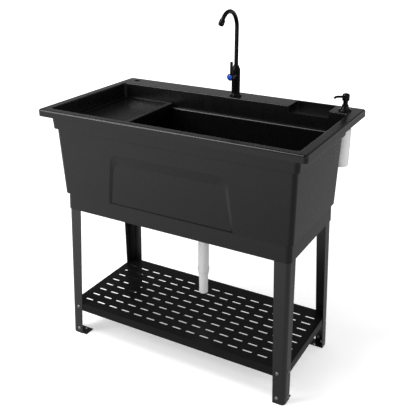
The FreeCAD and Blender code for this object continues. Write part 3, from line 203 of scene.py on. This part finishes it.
def make_turning_group():
    """Fine turning marks round an upright axis, as on spun and polished steel."""
    tree, given, result = start_group(
        "turned_marks", [("Centre", VECTOR, (0.0, 0.0, 0.0)), ("Line Scale", FLOAT, 900.0)],
        [("Height", FLOAT), ("Streak", FLOAT)])
    away = add(tree, "ShaderNodeVectorMath", {0: object_place(tree), 1: given["Centre"]},
               operation="SUBTRACT")
    parts = add(tree, "ShaderNodeSeparateXYZ", {0: away.outputs[0]}).outputs
    flat = add(tree, "ShaderNodeCombineXYZ", {0: parts[0], 1: parts[1]})
    reach = add(tree, "ShaderNodeVectorMath", {0: flat.outputs[0]}, operation="LENGTH")
    turned = add(tree, "ShaderNodeCombineXYZ", {0: reach.outputs["Value"], 1: parts[2]})
    lines = noise(tree, turned.outputs[0], given["Line Scale"], detail=4.0, roughness=0.7)
    streaks = noise(tree, turned.outputs[0], STREAK_SCALE, detail=3.0, roughness=0.6)
    wire(tree, lines, result["Height"])
    wire(tree, streaks, result["Streak"])
    return tree


GRAIN = make_grain_group()
EDGE_AND_HOLLOW = make_edge_and_hollow_group()
TURNING = make_turning_group()


def use(tree, group, **inputs):
    """Place a group in a material; underscores stand for the spaces in its socket names."""
    node = tree.nodes.new("ShaderNodeGroup")
    node.node_tree = group
    for name, value in inputs.items():
        wire(tree, value, node.inputs[name.replace("_", " ").title()])
    return node.outputs


# ---------------------------------------------------------------- finishes

def start_material(name):
    material = bpy.data.materials.new(name)
    material.use_nodes = True
    tree = material.node_tree
    shader = next(node for node in tree.nodes if node.type == "BSDF_PRINCIPLED")
    return material, tree, shader


def relief(tree, shader, height, depth):
    bump = add(tree, "ShaderNodeBump", {"Height": height, "Strength": 1.0, "Distance": depth})
    wire(tree, bump.outputs[0], shader.inputs["Normal"])


def grey(value, blue=1.0):
    """A grey with its blue channel a little stronger or weaker."""
    return (value, value, value * blue, 1.0)


DARKEST = 0.001


def shifted(colour, change):
    return tuple(max(channel + change, DARKEST) for channel in colour[:3]) + (1.0,)


def darkened(colour, share):
    return tuple(channel * share for channel in colour[:3]) + (1.0,)


ROUGHNESS_SPREAD = 0.06
HOLLOW_REACH = 16 * MM
HIGHLIGHT_AND_HOLLOW_SHARE = 0.5
HOLLOW_ROUGHER = 0.1


def coated(name, colour, roughness, grain_size, grain_depth, spread=0.12, painted_edge_highlight=0.02, dust_and_shade=0.02,
           edge_width=1.5 * MM, **constants):
    """A grained or coated surface with a painted highlight along its edges. Its hollow corners take painted
    shade where the hollow amount is below nought, and dust where it is above.
    """
    material, tree, shader = start_material(name)
    for socket, value in constants.items():
        label = socket.replace("_", " ").title().replace("Ior", "IOR")
        shader.inputs[label].default_value = value
    skin = use(tree, GRAIN, colour=colour, shade_spread=spread, grain_scale=1.0 / grain_size,
               roughness=roughness, roughness_spread=ROUGHNESS_SPREAD)
    masks = use(tree, EDGE_AND_HOLLOW, edge_width=edge_width, hollow_reach=HOLLOW_REACH)
    # Painted highlight: the colour is lifted along outer edges.
    edged = blend_colours(tree, scaled(tree, masks["Edge"], HIGHLIGHT_AND_HOLLOW_SHARE), skin["Colour"],
                          shifted(colour, painted_edge_highlight))
    # Hollow corners: painted shade where the colour shifts below its own, dust where it shifts above.
    wire(tree, blend_colours(tree, scaled(tree, masks["Hollow"], HIGHLIGHT_AND_HOLLOW_SHARE), edged, shifted(colour, dust_and_shade)),
         shader.inputs["Base Color"])
    rough = calculate(tree, "ADD", skin["Roughness"], scaled(tree, masks["Hollow"], HOLLOW_ROUGHER),
                      clamp=True)
    wire(tree, rough, shader.inputs["Roughness"])
    relief(tree, shader, skin["Height"], grain_depth)
    return material


STREAK_DARKER = 0.72
STREAK_SHARE = 0.5
PAINTED_SHADE_DARKER = 0.4
PAINTED_SHADE_SHARE = 0.6
METAL_EDGE = 1.0 * MM
METAL_HOLLOW = 10 * MM
POLISHED_BY = 0.06
DULLED_BY = 0.08


def turned_metal(name, colour, roughness, centre, depth):
    """Spun or turned metal with fine rings round the axis at the given place, and painted shade in its hollow
    corners.
    """
    material, tree, shader = start_material(name)
    shader.inputs["Metallic"].default_value = 1.0
    marks = use(tree, TURNING, centre=centre)
    masks = use(tree, EDGE_AND_HOLLOW, edge_width=METAL_EDGE, hollow_reach=METAL_HOLLOW)
    share = spread_between(tree, marks["Streak"], low=0.35, high=0.65, start=0.0, end=STREAK_SHARE)
    streaked = blend_colours(tree, share, colour, darkened(colour, STREAK_DARKER))
    # Painted shade: the colour darkens in hollow corners.
    wire(tree, blend_colours(tree, scaled(tree, masks["Hollow"], PAINTED_SHADE_SHARE), streaked,
                             darkened(colour, PAINTED_SHADE_DARKER)), shader.inputs["Base Color"])
    rough = spread_between(tree, marks["Streak"], low=0.3, high=0.7, start=roughness - POLISHED_BY,
                           end=roughness + DULLED_BY)
    wire(tree, rough, shader.inputs["Roughness"])
    relief(tree, shader, marks["Height"], depth)
    return material


def place_of(node):
    low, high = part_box(node)
    return (Vector(low) + Vector(high)) / 2


def make_finishes():
    """One finish for each kind of piece."""
    drain_axis = place_of("drain_body")
    tap_axis = place_of("tap_shank")
    return {
        # In each coated finish the edge amount is a painted highlight. The hollow amount is painted shade
        # below nought and dust above.
        "tub": coated(
            "moulded_black_tub", grey(0.0026, 1.10), roughness=0.27, grain_size=0.9 * MM,
            grain_depth=0.009 * MM, spread=0.14, painted_edge_highlight=0.016, dust_and_shade=-0.002, edge_width=1.5 * MM,
            specular_ior_level=0.47),
        "tray": coated(
            "moulded_black_tray", grey(0.0026, 1.08), roughness=0.25, grain_size=0.8 * MM,
            grain_depth=0.010 * MM, spread=0.14, painted_edge_highlight=0.012, dust_and_shade=-0.003, edge_width=1.2 * MM,
            specular_ior_level=0.34),
        "leg": coated(
            "black_powder_coat", grey(0.0070, 1.04), roughness=0.32, grain_size=1.1 * MM,
            grain_depth=0.02 * MM, painted_edge_highlight=0.030, dust_and_shade=-0.004, edge_width=0.8 * MM,
            specular_ior_level=0.72),
        "shelf": coated(
            "black_powder_coat_shelf", grey(0.0045, 1.04), roughness=0.38, grain_size=1.1 * MM,
            grain_depth=0.03 * MM, painted_edge_highlight=0.020, dust_and_shade=-0.003, edge_width=0.6 * MM,
            specular_ior_level=0.20),
        "screw": turned_metal(
            "zinc_plated_screw", (0.42, 0.42, 0.41, 1.0), roughness=0.42, centre=tap_axis,
            depth=0.004 * MM),
        # Near-black painted shade for the deep socket in each bolt's head.
        "recess": coated(
            "socket_painted_shade", grey(0.012), roughness=0.55, grain_size=0.5 * MM, grain_depth=0.01 * MM),
        "tap": coated(
            "black_tap_lacquer", grey(0.0040, 1.05), roughness=0.20, grain_size=0.7 * MM,
            grain_depth=0.006 * MM, spread=0.06, painted_edge_highlight=0.006, dust_and_shade=0.002, specular_ior_level=0.16),
        "dispenser": coated(
            "black_dispenser_shell", grey(0.0040, 1.05), roughness=0.16, grain_size=0.7 * MM,
            grain_depth=0.008 * MM, spread=0.06, painted_edge_highlight=0.006, dust_and_shade=0.002, specular_ior_level=0.24),
        "blue": coated(
            "blue_index", (0.010, 0.085, 0.62, 1.0), roughness=0.16, grain_size=0.8 * MM,
            grain_depth=0.004 * MM, spread=0.08, painted_edge_highlight=0.05, coat_weight=0.6, coat_roughness=0.06),
        "white_drain": coated(
            "white_drain_plastic", grey(0.88, 0.99), roughness=0.32, grain_size=1.0 * MM,
            grain_depth=0.03 * MM, spread=0.03, painted_edge_highlight=0.04, dust_and_shade=-0.16),
        "bottle": coated(
            "milky_bottle", grey(0.90, 0.995), roughness=0.30, grain_size=1.2 * MM,
            grain_depth=0.02 * MM, spread=0.02, painted_edge_highlight=0.03, dust_and_shade=-0.10, subsurface_weight=0.2,
            subsurface_radius=(1, 1, 1), subsurface_scale=0.01),
        "dip_tube": coated(
            "milky_tube", grey(0.78), roughness=0.3, grain_size=1.0 * MM, grain_depth=0.01 * MM,
            spread=0.02, dust_and_shade=-0.1),
        "rubber": coated(
            "black_seal", grey(0.018), roughness=0.62, grain_size=0.6 * MM, grain_depth=0.03 * MM),
        "steel": turned_metal(
            "turned_steel", (0.56, 0.56, 0.57, 1.0), roughness=0.26, centre=drain_axis, depth=0.01 * MM),
        "brass": turned_metal(
            "turned_brass", (0.68, 0.50, 0.24, 1.0), roughness=0.28, centre=tap_axis, depth=0.01 * MM),
    }


FINISH_OF = {
    "tub": ["basin_tub"],
    "tray": ["sliding_drain_tray"],
    "leg": ["leg_front_left", "leg_front_right", "leg_back_left", "leg_back_right",
            "foot_bracket_front_left", "foot_bracket_front_right", "foot_bracket_back_left",
            "foot_bracket_back_right"],
    "shelf": ["shelf_panel"],
    "screw": ["shelf_bolts", "shelf_nuts", "foot_bolts", "foot_nuts"],
    "tap": ["tap_base_flange", "tap_body", "spout_collar", "spout_tube", "spout_aerator", "handle_hub",
            "handle_lever"],
    "blue": ["handle_index_cap"],
    "brass": ["tap_shank", "tap_lock_nut", "tap_cartridge", "handle_spindle"],
    "dispenser": ["dispenser_flange", "dispenser_shank", "dispenser_nut", "pump_stem", "pump_head"],
    "bottle": ["dispenser_bottle"],
    "dip_tube": ["dispenser_dip_tube"],
    "white_drain": ["drain_lock_nut", "tailpiece_nut", "drain_tailpiece", "slip_joint_nut",
                    "lower_drain_pipe"],
    "rubber": ["drain_gasket", "strainer_stopper", "tailpiece_washer", "slip_joint_washer",
               "tap_washer"],
    "steel": ["drain_body", "strainer_basket", "pump_spring"],
}


def dress_nodes(finishes):
    """Give every carried-over node its finish."""
    for finish, nodes in FINISH_OF.items():
        for node in nodes:
            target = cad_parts[node]
            target.data.materials.clear()
            target.data.materials.append(finishes[finish])


# ---------------------------------------------------------------- fine pieces

def make_piece(name, corners, faces, finish, body, smooth=False):
    """A mesh piece from its corners and faces, dressed and set on the body that carries it."""
    mesh = bpy.data.meshes.new(name)
    mesh.from_pydata([tuple(corner) for corner in corners], [], faces)
    mesh.update()
    work = bmesh.new()
    work.from_mesh(mesh)
    bmesh.ops.recalc_face_normals(work, faces=work.faces)
    work.to_mesh(mesh)
    work.free()
    mesh.polygons.foreach_set("use_smooth", [smooth] * len(mesh.polygons))
    mesh.materials.append(finish)
    piece = bpy.data.objects.new(name, mesh)
    bpy.context.scene.collection.objects.link(piece)
    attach(piece, body)
    return piece


def ring_faces(first, sides, rings, closed=False):
    """Faces that join rings of the same number of corners, one after another."""
    faces = []
    for ring in range(rings if closed else rings - 1):
        here = first + ring * sides
        onward = first + (ring + 1) % rings * sides
        for side in range(sides):
            beside = (side + 1) % sides
            faces.append((here + side, here + beside, onward + beside, onward + side))
    return faces


def corners_of_box(node):
    low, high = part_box(node)
    return Vector(low), Vector(high)


# The drafted front wall, as a point on it and its lean, and what stands proud of it as the panel.
WALL_PLACE = Vector((0, -219.42, 575)) * MM
WALL_LEAN = 0.04726
PANEL_REACH = 240 * MM
PANEL_FOOT = 565 * MM
PANEL_TOP = 799 * MM
PROUD_LEAST = 0.3 * MM
PROUD_MOST = 6 * MM
PRESSED_SHARE = 0.8


def make_tub_shell(finish):
    """The tub with its front panel pressed into the drafted wall, not raised from it."""
    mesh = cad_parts["basin_tub"].data.copy()
    outward = Vector((0, -1, -WALL_LEAN)).normalized()
    moved = set()
    for vertex in mesh.vertices:
        proud = (vertex.co - WALL_PLACE).dot(outward)
        on_panel = abs(vertex.co.x) < PANEL_REACH and PANEL_FOOT < vertex.co.z < PANEL_TOP
        if on_panel and PROUD_LEAST < proud < PROUD_MOST:
            vertex.co -= outward * proud * (1 + PRESSED_SHARE)
            moved.add(vertex.index)
    normals = [Vector(corner.vector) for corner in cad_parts["basin_tub"].data.corner_normals]
    for polygon in mesh.polygons:
        if moved.isdisjoint(polygon.vertices):
            continue
        for corner in polygon.loop_indices:
            normals[corner] = outward * 2 * normals[corner].dot(outward) - normals[corner]
    mesh.normals_split_custom_set([tuple(normal) for normal in normals])
    mesh.materials.clear()
    mesh.materials.append(finish)
    shell = bpy.data.objects.new("tub_shell", mesh)
    bpy.context.scene.collection.objects.link(shell)
    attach(shell, "sink")
    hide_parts("basin_tub")


SLOT_COLUMNS = 15
SLOT_ROWS = 8
SLOT_LENGTH = 37 * MM
SLOT_WIDTH = 11 * MM
SLOT_CORNER = 3 * MM
SLOT_FIRST = Vector((-382.293, -182.793)) * MM
SLOT_LAST = Vector((382.293, 104.793)) * MM
LIP_GAP = 0.1 * MM
LIP_STEEL = 0.8 * MM
LIP_DROP = 3.4 * MM


def slot_outline(inset):
    """The eight corners of a slot with cut-off corners, drawn in by the inset."""
    end, side = SLOT_LENGTH / 2 - inset, SLOT_WIDTH / 2 - inset
    cut = SLOT_CORNER - inset * (2 - math.sqrt(2))
    return [(end, side - cut), (end - cut, side), (cut - end, side), (-end, side - cut),
            (-end, cut - side), (cut - end, -side), (end - cut, -side), (end, cut - side)]


def make_slot_lips(finish):
    """The edge turned down inside each slot of the pressed shelf."""
    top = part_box("shelf_panel")[1][2] - LIP_GAP
    outer, inner = slot_outline(LIP_GAP), slot_outline(LIP_GAP + LIP_STEEL)
    rings = [(outer, top), (inner, top), (inner, top - LIP_DROP), (outer, top - LIP_DROP)]
    span = SLOT_LAST - SLOT_FIRST
    corners, faces = [], []
    for column in range(SLOT_COLUMNS):
        for row in range(SLOT_ROWS):
            x = SLOT_FIRST.x + span.x * column / (SLOT_COLUMNS - 1)
            y = SLOT_FIRST.y + span.y * row / (SLOT_ROWS - 1)
            faces += ring_faces(len(corners), len(outer), len(rings), closed=True)
            corners += [(x + across, y + along, z) for ring, z in rings for across, along in ring]
    make_piece("shelf_slot_lips", corners, faces, finish, "sink")


TURN_STEPS = 28
THREAD_FLANK = 0.36
THREAD_DEPTH = 0.22 * MM
THREAD_ROOT = 0.02 * MM
FINE_PITCH = 1.8 * MM
COARSE_PITCH = 2.4 * MM


def make_thread(name, axis, radius, bottom, top, pitch, finish):
    """A fine helical ridge round an upright shaft, which fades out at both ends."""
    steps = int((top - bottom) / pitch * TURN_STEPS)
    corners, faces = [], []
    for step in range(steps + 1):
        angle = 2 * math.pi * step / TURN_STEPS
        fade = min(1.0, step / TURN_STEPS, (steps - step) / TURN_STEPS)
        height = bottom + pitch * step / TURN_STEPS
        for shift, proud in ((-THREAD_FLANK, -THREAD_ROOT), (0.0, THREAD_DEPTH * fade),
                             (THREAD_FLANK, -THREAD_ROOT)):
            reach = radius + proud
            corners.append((axis.x + reach * math.cos(angle), axis.y + reach * math.sin(angle),
                            min(max(height + shift * pitch, bottom), top)))
    for step in range(steps):
        here, onward = step * 3, step * 3 + 3
        faces += [(here, onward, onward + 1, here + 1), (here + 1, onward + 1, onward + 2, here + 2)]
    make_piece(name, corners, faces, finish, "sink")


SHANK_CHAMFER = 1 * MM
NUT_CLEAR = 1 * MM
INLET_LENGTH = 46 * MM
RELIEF_CLEAR = 3 * MM
CUP_RADIUS = 44.5 * MM
CUP_DEPTH = 46 * MM
CUP_CORNER = 4 * MM


def make_threads(finishes):
    """Threads where a fitting screws on: tap shank, dispenser shank, drain cup."""
    low, high = corners_of_box("tap_shank")
    make_thread("tap_shank_thread", (low + high) / 2, (high.x - low.x) / 2, low.z + SHANK_CHAMFER,
                low.z + INLET_LENGTH - RELIEF_CLEAR, FINE_PITCH, finishes["brass"])
    low, high = corners_of_box("dispenser_shank")
    nut_foot = corners_of_box("dispenser_nut")[0].z
    make_thread("dispenser_shank_thread", (low + high) / 2, (high.x - low.x) / 2, low.z + SHANK_CHAMFER,
                nut_foot - NUT_CLEAR, COARSE_PITCH, finishes["dispenser"])
    low, high = corners_of_box("drain_body")
    nut_foot = corners_of_box("drain_lock_nut")[0].z
    make_thread("drain_cup_thread", (low + high) / 2, CUP_RADIUS, high.z - CUP_DEPTH + CUP_CORNER,
                nut_foot - NUT_CLEAR, COARSE_PITCH, finishes["steel"])


COIL_TURNS = 8
COIL_WIRE_SIDES = 10
COIL_WIRE_RADIUS = 0.6 * MM


def make_pump_coil(finish):
    """The wound spring that lifts the pump, in place of its plain tube: closed turns at both ends."""
    low, high = corners_of_box("pump_spring")
    axis = (low + high) / 2
    reach = (high.x - low.x) / 2 - COIL_WIRE_RADIUS
    bottom, top = low.z + COIL_WIRE_RADIUS, high.z - COIL_WIRE_RADIUS
    steps = COIL_TURNS * TURN_STEPS
    corners = []
    for step in range(steps + 1):
        angle = 2 * math.pi * step / TURN_STEPS
        climb = min(max((step / steps * COIL_TURNS - 1) / (COIL_TURNS - 2), 0.0), 1.0)
        centre = Vector((axis.x + reach * math.cos(angle), axis.y + reach * math.sin(angle),
                         bottom + (top - bottom) * climb))
        out = Vector((math.cos(angle), math.sin(angle), 0))
        for side in range(COIL_WIRE_SIDES):
            turn = 2 * math.pi * side / COIL_WIRE_SIDES
            corners.append(centre + COIL_WIRE_RADIUS * (out * math.cos(turn) + UP * math.sin(turn)))
    faces = ring_faces(0, COIL_WIRE_SIDES, steps + 1)
    faces += [tuple(range(COIL_WIRE_SIDES)),
              tuple(range(len(corners) - 1, len(corners) - 1 - COIL_WIRE_SIDES, -1))]
    coil = make_piece("pump_coil", corners, faces, finish, "sink", smooth=True)
    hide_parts("pump_spring")
    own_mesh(coil)


SAME_PLACE_DIGITS = 5


def parts_of(node):
    """The separate solids of a node, each as its list of points."""
    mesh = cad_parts[node].data
    leader = list(range(len(mesh.vertices)))

    def top_of(index):
        while leader[index] != index:
            leader[index] = leader[leader[index]]
            index = leader[index]
        return index

    places = {}
    for vertex in mesh.vertices:
        key = tuple(round(value, SAME_PLACE_DIGITS) for value in vertex.co)
        leader[top_of(vertex.index)] = top_of(places.setdefault(key, vertex.index))
    for edge in mesh.edges:
        leader[top_of(edge.vertices[0])] = top_of(edge.vertices[1])
    groups = {}
    for vertex in mesh.vertices:
        groups.setdefault(top_of(vertex.index), []).append(vertex.co.copy())
    return list(groups.values())


LEGS_MIDDLE_Y = -31 * MM
CROWN_DEPTH = 0.15 * MM
KEY_RADIUS = 2.4 * MM
KEY_RISE = 0.12 * MM
KEY_WALL = 0.7 * MM
KEY_CREST_SHARE = 0.4
KEY_SIDES = 6
# How far the recess and its rim stand out from the head, in shares of the rise.
KEY_MOUTH = 0.3
KEY_CREST = 1.0
KEY_SKIRT = -1.2


def bolt_outward(points):
    """The way a bolt's head faces: out of the stand, along the bolt's own length."""
    middle = sum(points, Vector()) / len(points)
    spread_x, spread_y = (max(point[way] for point in points) - min(point[way] for point in points)
                          for way in (0, 1))
    if spread_y > spread_x:
        return Vector((0, math.copysign(1, middle.y - LEGS_MIDDLE_Y), 0))
    return Vector((math.copysign(1, middle.x), 0, 0))


def key_ring(head, outward, reach, rise):
    """The corners of a hexagon round the middle of a bolt's head."""
    level = outward.cross(UP)
    angles = [2 * math.pi * corner / KEY_SIDES for corner in range(KEY_SIDES)]
    return [head + (level * math.cos(angle) + UP * math.sin(angle)) * reach + outward * KEY_RISE * rise
            for angle in angles]


def make_bolt_keys(finishes):
    """The six-sided key recess in the head of each bolt, and the rim round it. The recess is barely sunk, and
    its near-black finish is painted shade for the socket's depth.
    """
    corners, faces, rim_corners, rim_faces = [], [], [], []
    for node in ("shelf_bolts", "foot_bolts"):
        for points in parts_of(node):
            outward = bolt_outward(points)
            far = max(point.dot(outward) for point in points)
            crown = [point for point in points if point.dot(outward) > far - CROWN_DEPTH]
            head = sum(crown, Vector()) / len(crown)
            first = len(corners)
            corners += key_ring(head, outward, KEY_RADIUS, KEY_MOUTH)
            corners.append(head - outward * KEY_RISE)
            faces += [(first + side, first + (side + 1) % KEY_SIDES, first + KEY_SIDES)
                      for side in range(KEY_SIDES)]
            rim_faces += ring_faces(len(rim_corners), KEY_SIDES, 3)
            for reach, rise in ((KEY_RADIUS, KEY_MOUTH), (KEY_RADIUS + KEY_WALL * KEY_CREST_SHARE, KEY_CREST),
                                (KEY_RADIUS + KEY_WALL, KEY_SKIRT)):
                rim_corners += key_ring(head, outward, reach, rise)
    # The recess is a near-black sheet: painted shade where the socket would be deep.
    make_piece("bolt_key_recesses", corners, faces, finishes["recess"], "sink")
    make_piece("bolt_key_rims", rim_corners, rim_faces, finishes["screw"], "sink")


# The spout's mouth looks down and forward, at this angle from straight up.
SPOUT_DROOP = math.radians(140)
MOUTH_AIM = Vector((0, -math.sin(SPOUT_DROOP), math.cos(SPOUT_DROOP)))
MOUTH_ACROSS = Vector((1, 0, 0))
MOUTH_SIDE = MOUTH_AIM.cross(MOUTH_ACROSS)
MOUTH_RIM_DEPTH = 0.1 * MM
SIEVE_BARS = 9
SIEVE_HALF_BAR = 0.22 * MM
SIEVE_SUNK = 1.6 * MM
SIEVE_SEAT = 0.1 * MM
GRIP_RIBS = 30
GRIP_BACK = 9 * MM
GRIP_FRONT = 3.4 * MM
GRIP_TAPER = 0.8 * MM
GRIP_RISE = 0.35 * MM
GRIP_ROOT = 0.05 * MM
GRIP_HALF_FOOT = 0.5 * MM
GRIP_HALF_CREST = 0.2 * MM


def make_sieve(mouth, inner, finish):
    """The crossed bars of the fine sieve in the spout's mouth."""
    corners, faces = [], []
    for along, beside in ((MOUTH_ACROSS, MOUTH_SIDE), (MOUTH_SIDE, MOUTH_ACROSS)):
        for bar in range(SIEVE_BARS):
            shift = inner * (2 * (bar + 1) / (SIEVE_BARS + 1) - 1)
            reach = math.sqrt(max(inner ** 2 - shift ** 2, 0.0)) + SIEVE_SEAT
            first = len(corners)
            for lift in (-SIEVE_HALF_BAR, SIEVE_HALF_BAR):
                for end, edge in ((-1, -1), (1, -1), (1, 1), (-1, 1)):
                    corners.append(mouth + along * reach * end + beside * (shift + SIEVE_HALF_BAR * edge)
                                   + MOUTH_AIM * (lift - SIEVE_SUNK))
            faces += ring_faces(first, 4, 2)
            faces += [tuple(range(first, first + 4)), tuple(range(first + 4, first + 8))]
    make_piece("aerator_sieve", corners, faces, finish, "spout")


def make_grip_ribs(mouth, outer, finish):
    """The ribs round the aerator that a hand turns it by."""
    corners, faces = [], []
    start, end = mouth - MOUTH_AIM * GRIP_BACK, mouth - MOUTH_AIM * GRIP_FRONT
    taper = MOUTH_AIM * GRIP_TAPER
    for rib in range(GRIP_RIBS):
        angle = 2 * math.pi * rib / GRIP_RIBS
        out = MOUTH_ACROSS * math.cos(angle) + MOUTH_SIDE * math.sin(angle)
        round_it = MOUTH_ACROSS * -math.sin(angle) + MOUTH_SIDE * math.cos(angle)
        faces += ring_faces(len(corners), 4, 4)
        for place, rise in ((start, 0.0), (start + taper, GRIP_RISE), (end - taper, GRIP_RISE), (end, 0.0)):
            corners += [place + out * (outer - GRIP_ROOT) - round_it * GRIP_HALF_FOOT,
                        place + out * (outer + rise) - round_it * GRIP_HALF_CREST,
                        place + out * (outer + rise) + round_it * GRIP_HALF_CREST,
                        place + out * (outer - GRIP_ROOT) + round_it * GRIP_HALF_FOOT]
    make_piece("aerator_grip_ribs", corners, faces, finish, "spout")


def make_aerator_details(finishes):
    """Find the spout's mouth in the aerator's mesh, and fit the sieve and the grip to it."""
    points = [vertex.co.copy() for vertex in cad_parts["spout_aerator"].data.vertices]
    far = max(point.dot(MOUTH_AIM) for point in points)
    rim = [point for point in points if point.dot(MOUTH_AIM) > far - MOUTH_RIM_DEPTH]
    mouth = sum(rim, Vector()) / len(rim)
    inner = min((point - mouth).length for point in rim)
    outer = max((point - mouth - MOUTH_AIM * (point - mouth).dot(MOUTH_AIM)).length for point in points)
    make_sieve(mouth, inner, finishes["steel"])
    make_grip_ribs(mouth, outer, finishes["tap"])


def make_fine_pieces(finishes):
    make_tub_shell(finishes["tub"])
    make_slot_lips(finishes["shelf"])
    make_threads(finishes)
    make_pump_coil(finishes["steel"])
    make_bolt_keys(finishes)
    make_aerator_details(finishes)


# ---------------------------------------------------------------- studio

CAMERA_PLACE = Vector((1.0149, -1.7869, 1.4322))
CAMERA_YAW = math.radians(29.05)
CAMERA_PITCH = math.radians(24.06)
CAMERA_ROLL = math.radians(0.17)
LENS = 56.17
SENSOR = 36.0
CLIP_NEAR = 0.05
CLIP_FAR = 60.0


def place_camera():
    """The photograph's view: from the front right, a little above the rim."""
    back = Vector((math.sin(CAMERA_YAW) * math.cos(CAMERA_PITCH),
                   -math.cos(CAMERA_YAW) * math.cos(CAMERA_PITCH), math.sin(CAMERA_PITCH)))
    level = Vector((math.cos(CAMERA_YAW), math.sin(CAMERA_YAW), 0.0))
    upright = back.cross(level)
    right = level * math.cos(CAMERA_ROLL) + upright * math.sin(CAMERA_ROLL)
    up = upright * math.cos(CAMERA_ROLL) - level * math.sin(CAMERA_ROLL)
    data = bpy.data.cameras.new("camera")
    data.lens = LENS
    data.sensor_width = SENSOR
    data.clip_start = CLIP_NEAR
    data.clip_end = CLIP_FAR
    camera = bpy.data.objects.new("camera", data)
    turn = Matrix((right, up, back)).transposed().to_4x4()
    camera.matrix_world = Matrix.Translation(CAMERA_PLACE) @ turn
    bpy.context.scene.collection.objects.link(camera)
    bpy.context.scene.camera = camera


WHITE = (1, 1, 1, 1)
WORLD_LIGHT = 0.66
BACKGROUND_WHITE = 1.0
CEILING_SHINE = 0.12
BACKDROP_TOP = 0.30


def sees_background(tree, path):
    """One for a ray that looks straight or through glass at the background, otherwise nought."""
    return calculate(tree, "MAXIMUM", path["Is Camera Ray"], path["Is Transmission Ray"])


def make_world():
    """White to look at, a dimmer ceiling in reflections, and soft even light on the object."""
    world = bpy.data.worlds.new("studio")
    world.use_nodes = True
    bpy.context.scene.world = world
    tree = world.node_tree
    shown = tree.nodes["Background"]
    shown.inputs["Color"].default_value = WHITE
    path = add(tree, "ShaderNodeLightPath").outputs
    heading = add(tree, "ShaderNodeSeparateXYZ", {0: add(tree, "ShaderNodeTexCoord").outputs["Generated"]})
    mirrored = spread_between(tree, heading.outputs[2], 0.0, BACKDROP_TOP, BACKGROUND_WHITE, CEILING_SHINE)
    soft = calculate(tree, "MULTIPLY_ADD", path["Is Glossy Ray"],
                     calculate(tree, "SUBTRACT", mirrored, WORLD_LIGHT), WORLD_LIGHT)
    plain = scaled(tree, sees_background(tree, path), BACKGROUND_WHITE)
    wire(tree, calculate(tree, "MAXIMUM", soft, plain), shown.inputs["Strength"])


FLOOR_SIZE = 24.0
FLOOR_SHADE = 0.88
FLOOR_SPREAD = 0.01
FLOOR_ROUGHNESS = 0.8
# The floor's own glow to the eye: weak by the feet, where it keeps the shadow, and white further out.
FLOOR_GLOW = 0.42
FLOOR_WHITE = 1.0
GLOW_NEAR = 1.4
GLOW_FAR = 3.6
# Its strength in reflections falls along this way, from the front left to behind the right.
SHINE_AIM = (0.8, 0.6, 0.0)
SHINE_FRONT = -2.0
SHINE_BACK = 0.1
SHINE_LEAST = 0.36


def make_floor():
    """A pale floor that keeps the shadow by the feet and turns plain white further out."""
    half = FLOOR_SIZE / 2
    mesh = bpy.data.meshes.new("studio_floor")
    mesh.from_pydata([(-half, -half, 0), (half, -half, 0), (half, half, 0), (-half, half, 0)], [],
                     [(0, 1, 2, 3)])
    floor = bpy.data.objects.new("studio_floor", mesh)
    bpy.context.scene.collection.objects.link(floor)
    material, tree, shader = start_material("pale_floor")
    wire(tree, use(tree, GRAIN, colour=grey(FLOOR_SHADE), shade_spread=FLOOR_SPREAD,
                   roughness=FLOOR_ROUGHNESS)["Colour"], shader.inputs["Base Color"])
    shader.inputs["Roughness"].default_value = FLOOR_ROUGHNESS
    shader.inputs["Specular IOR Level"].default_value = 0.0
    shader.inputs["Emission Color"].default_value = WHITE
    place = object_place(tree)
    reach = add(tree, "ShaderNodeVectorMath", {0: place}, operation="LENGTH").outputs["Value"]
    glow = spread_between(tree, reach, GLOW_NEAR, GLOW_FAR, FLOOR_GLOW, FLOOR_WHITE)
    path = add(tree, "ShaderNodeLightPath").outputs
    wire(tree, scaled(tree, sees_background(tree, path), glow), shader.inputs["Emission Strength"])
    along = add(tree, "ShaderNodeVectorMath", {0: place, 1: SHINE_AIM},
                operation="DOT_PRODUCT").outputs["Value"]
    shine = spread_between(tree, along, SHINE_FRONT, SHINE_BACK, FLOOR_WHITE, SHINE_LEAST)
    mirrored = add(tree, "ShaderNodeEmission", {"Color": WHITE, "Strength": shine})
    either = add(tree, "ShaderNodeMixShader", {0: path["Is Glossy Ray"], 1: shader.outputs[0],
                                               2: mirrored.outputs[0]})
    finish = next(node for node in tree.nodes if node.type == "OUTPUT_MATERIAL")
    wire(tree, either.outputs[0], finish.inputs["Surface"])
    mesh.materials.append(material)


SINK_MIDDLE = Vector((0.0, 0.0, 0.6))
# Each soft box: its name, place, width and power.
SOFT_BOXES = (("overhead_box", (-1.2, -0.9, 3.2), 1.8, 56.0),
              ("front_left_box", (-2.3, -2.2, 2.3), 1.2, 38.0),
              ("right_box", (3.0, -0.2, 1.9), 1.2, 10.0))


def make_lamps():
    """Square soft boxes that face the sink."""
    for name, place, width, power in SOFT_BOXES:
        data = bpy.data.lights.new(name, "AREA")
        data.shape = "SQUARE"
        data.size = width
        data.energy = power
        lamp = bpy.data.objects.new(name, data)
        lamp.location = place
        lamp.rotation_euler = (SINK_MIDDLE - Vector(place)).to_track_quat("-Z", "Y").to_euler()
        bpy.context.scene.collection.objects.link(lamp)


bpy.context.scene.view_settings.view_transform = "Standard"
place_camera()
make_world()
make_floor()
make_lamps()
FINISHES = make_finishes()
dress_nodes(FINISHES)
make_fine_pieces(FINISHES)
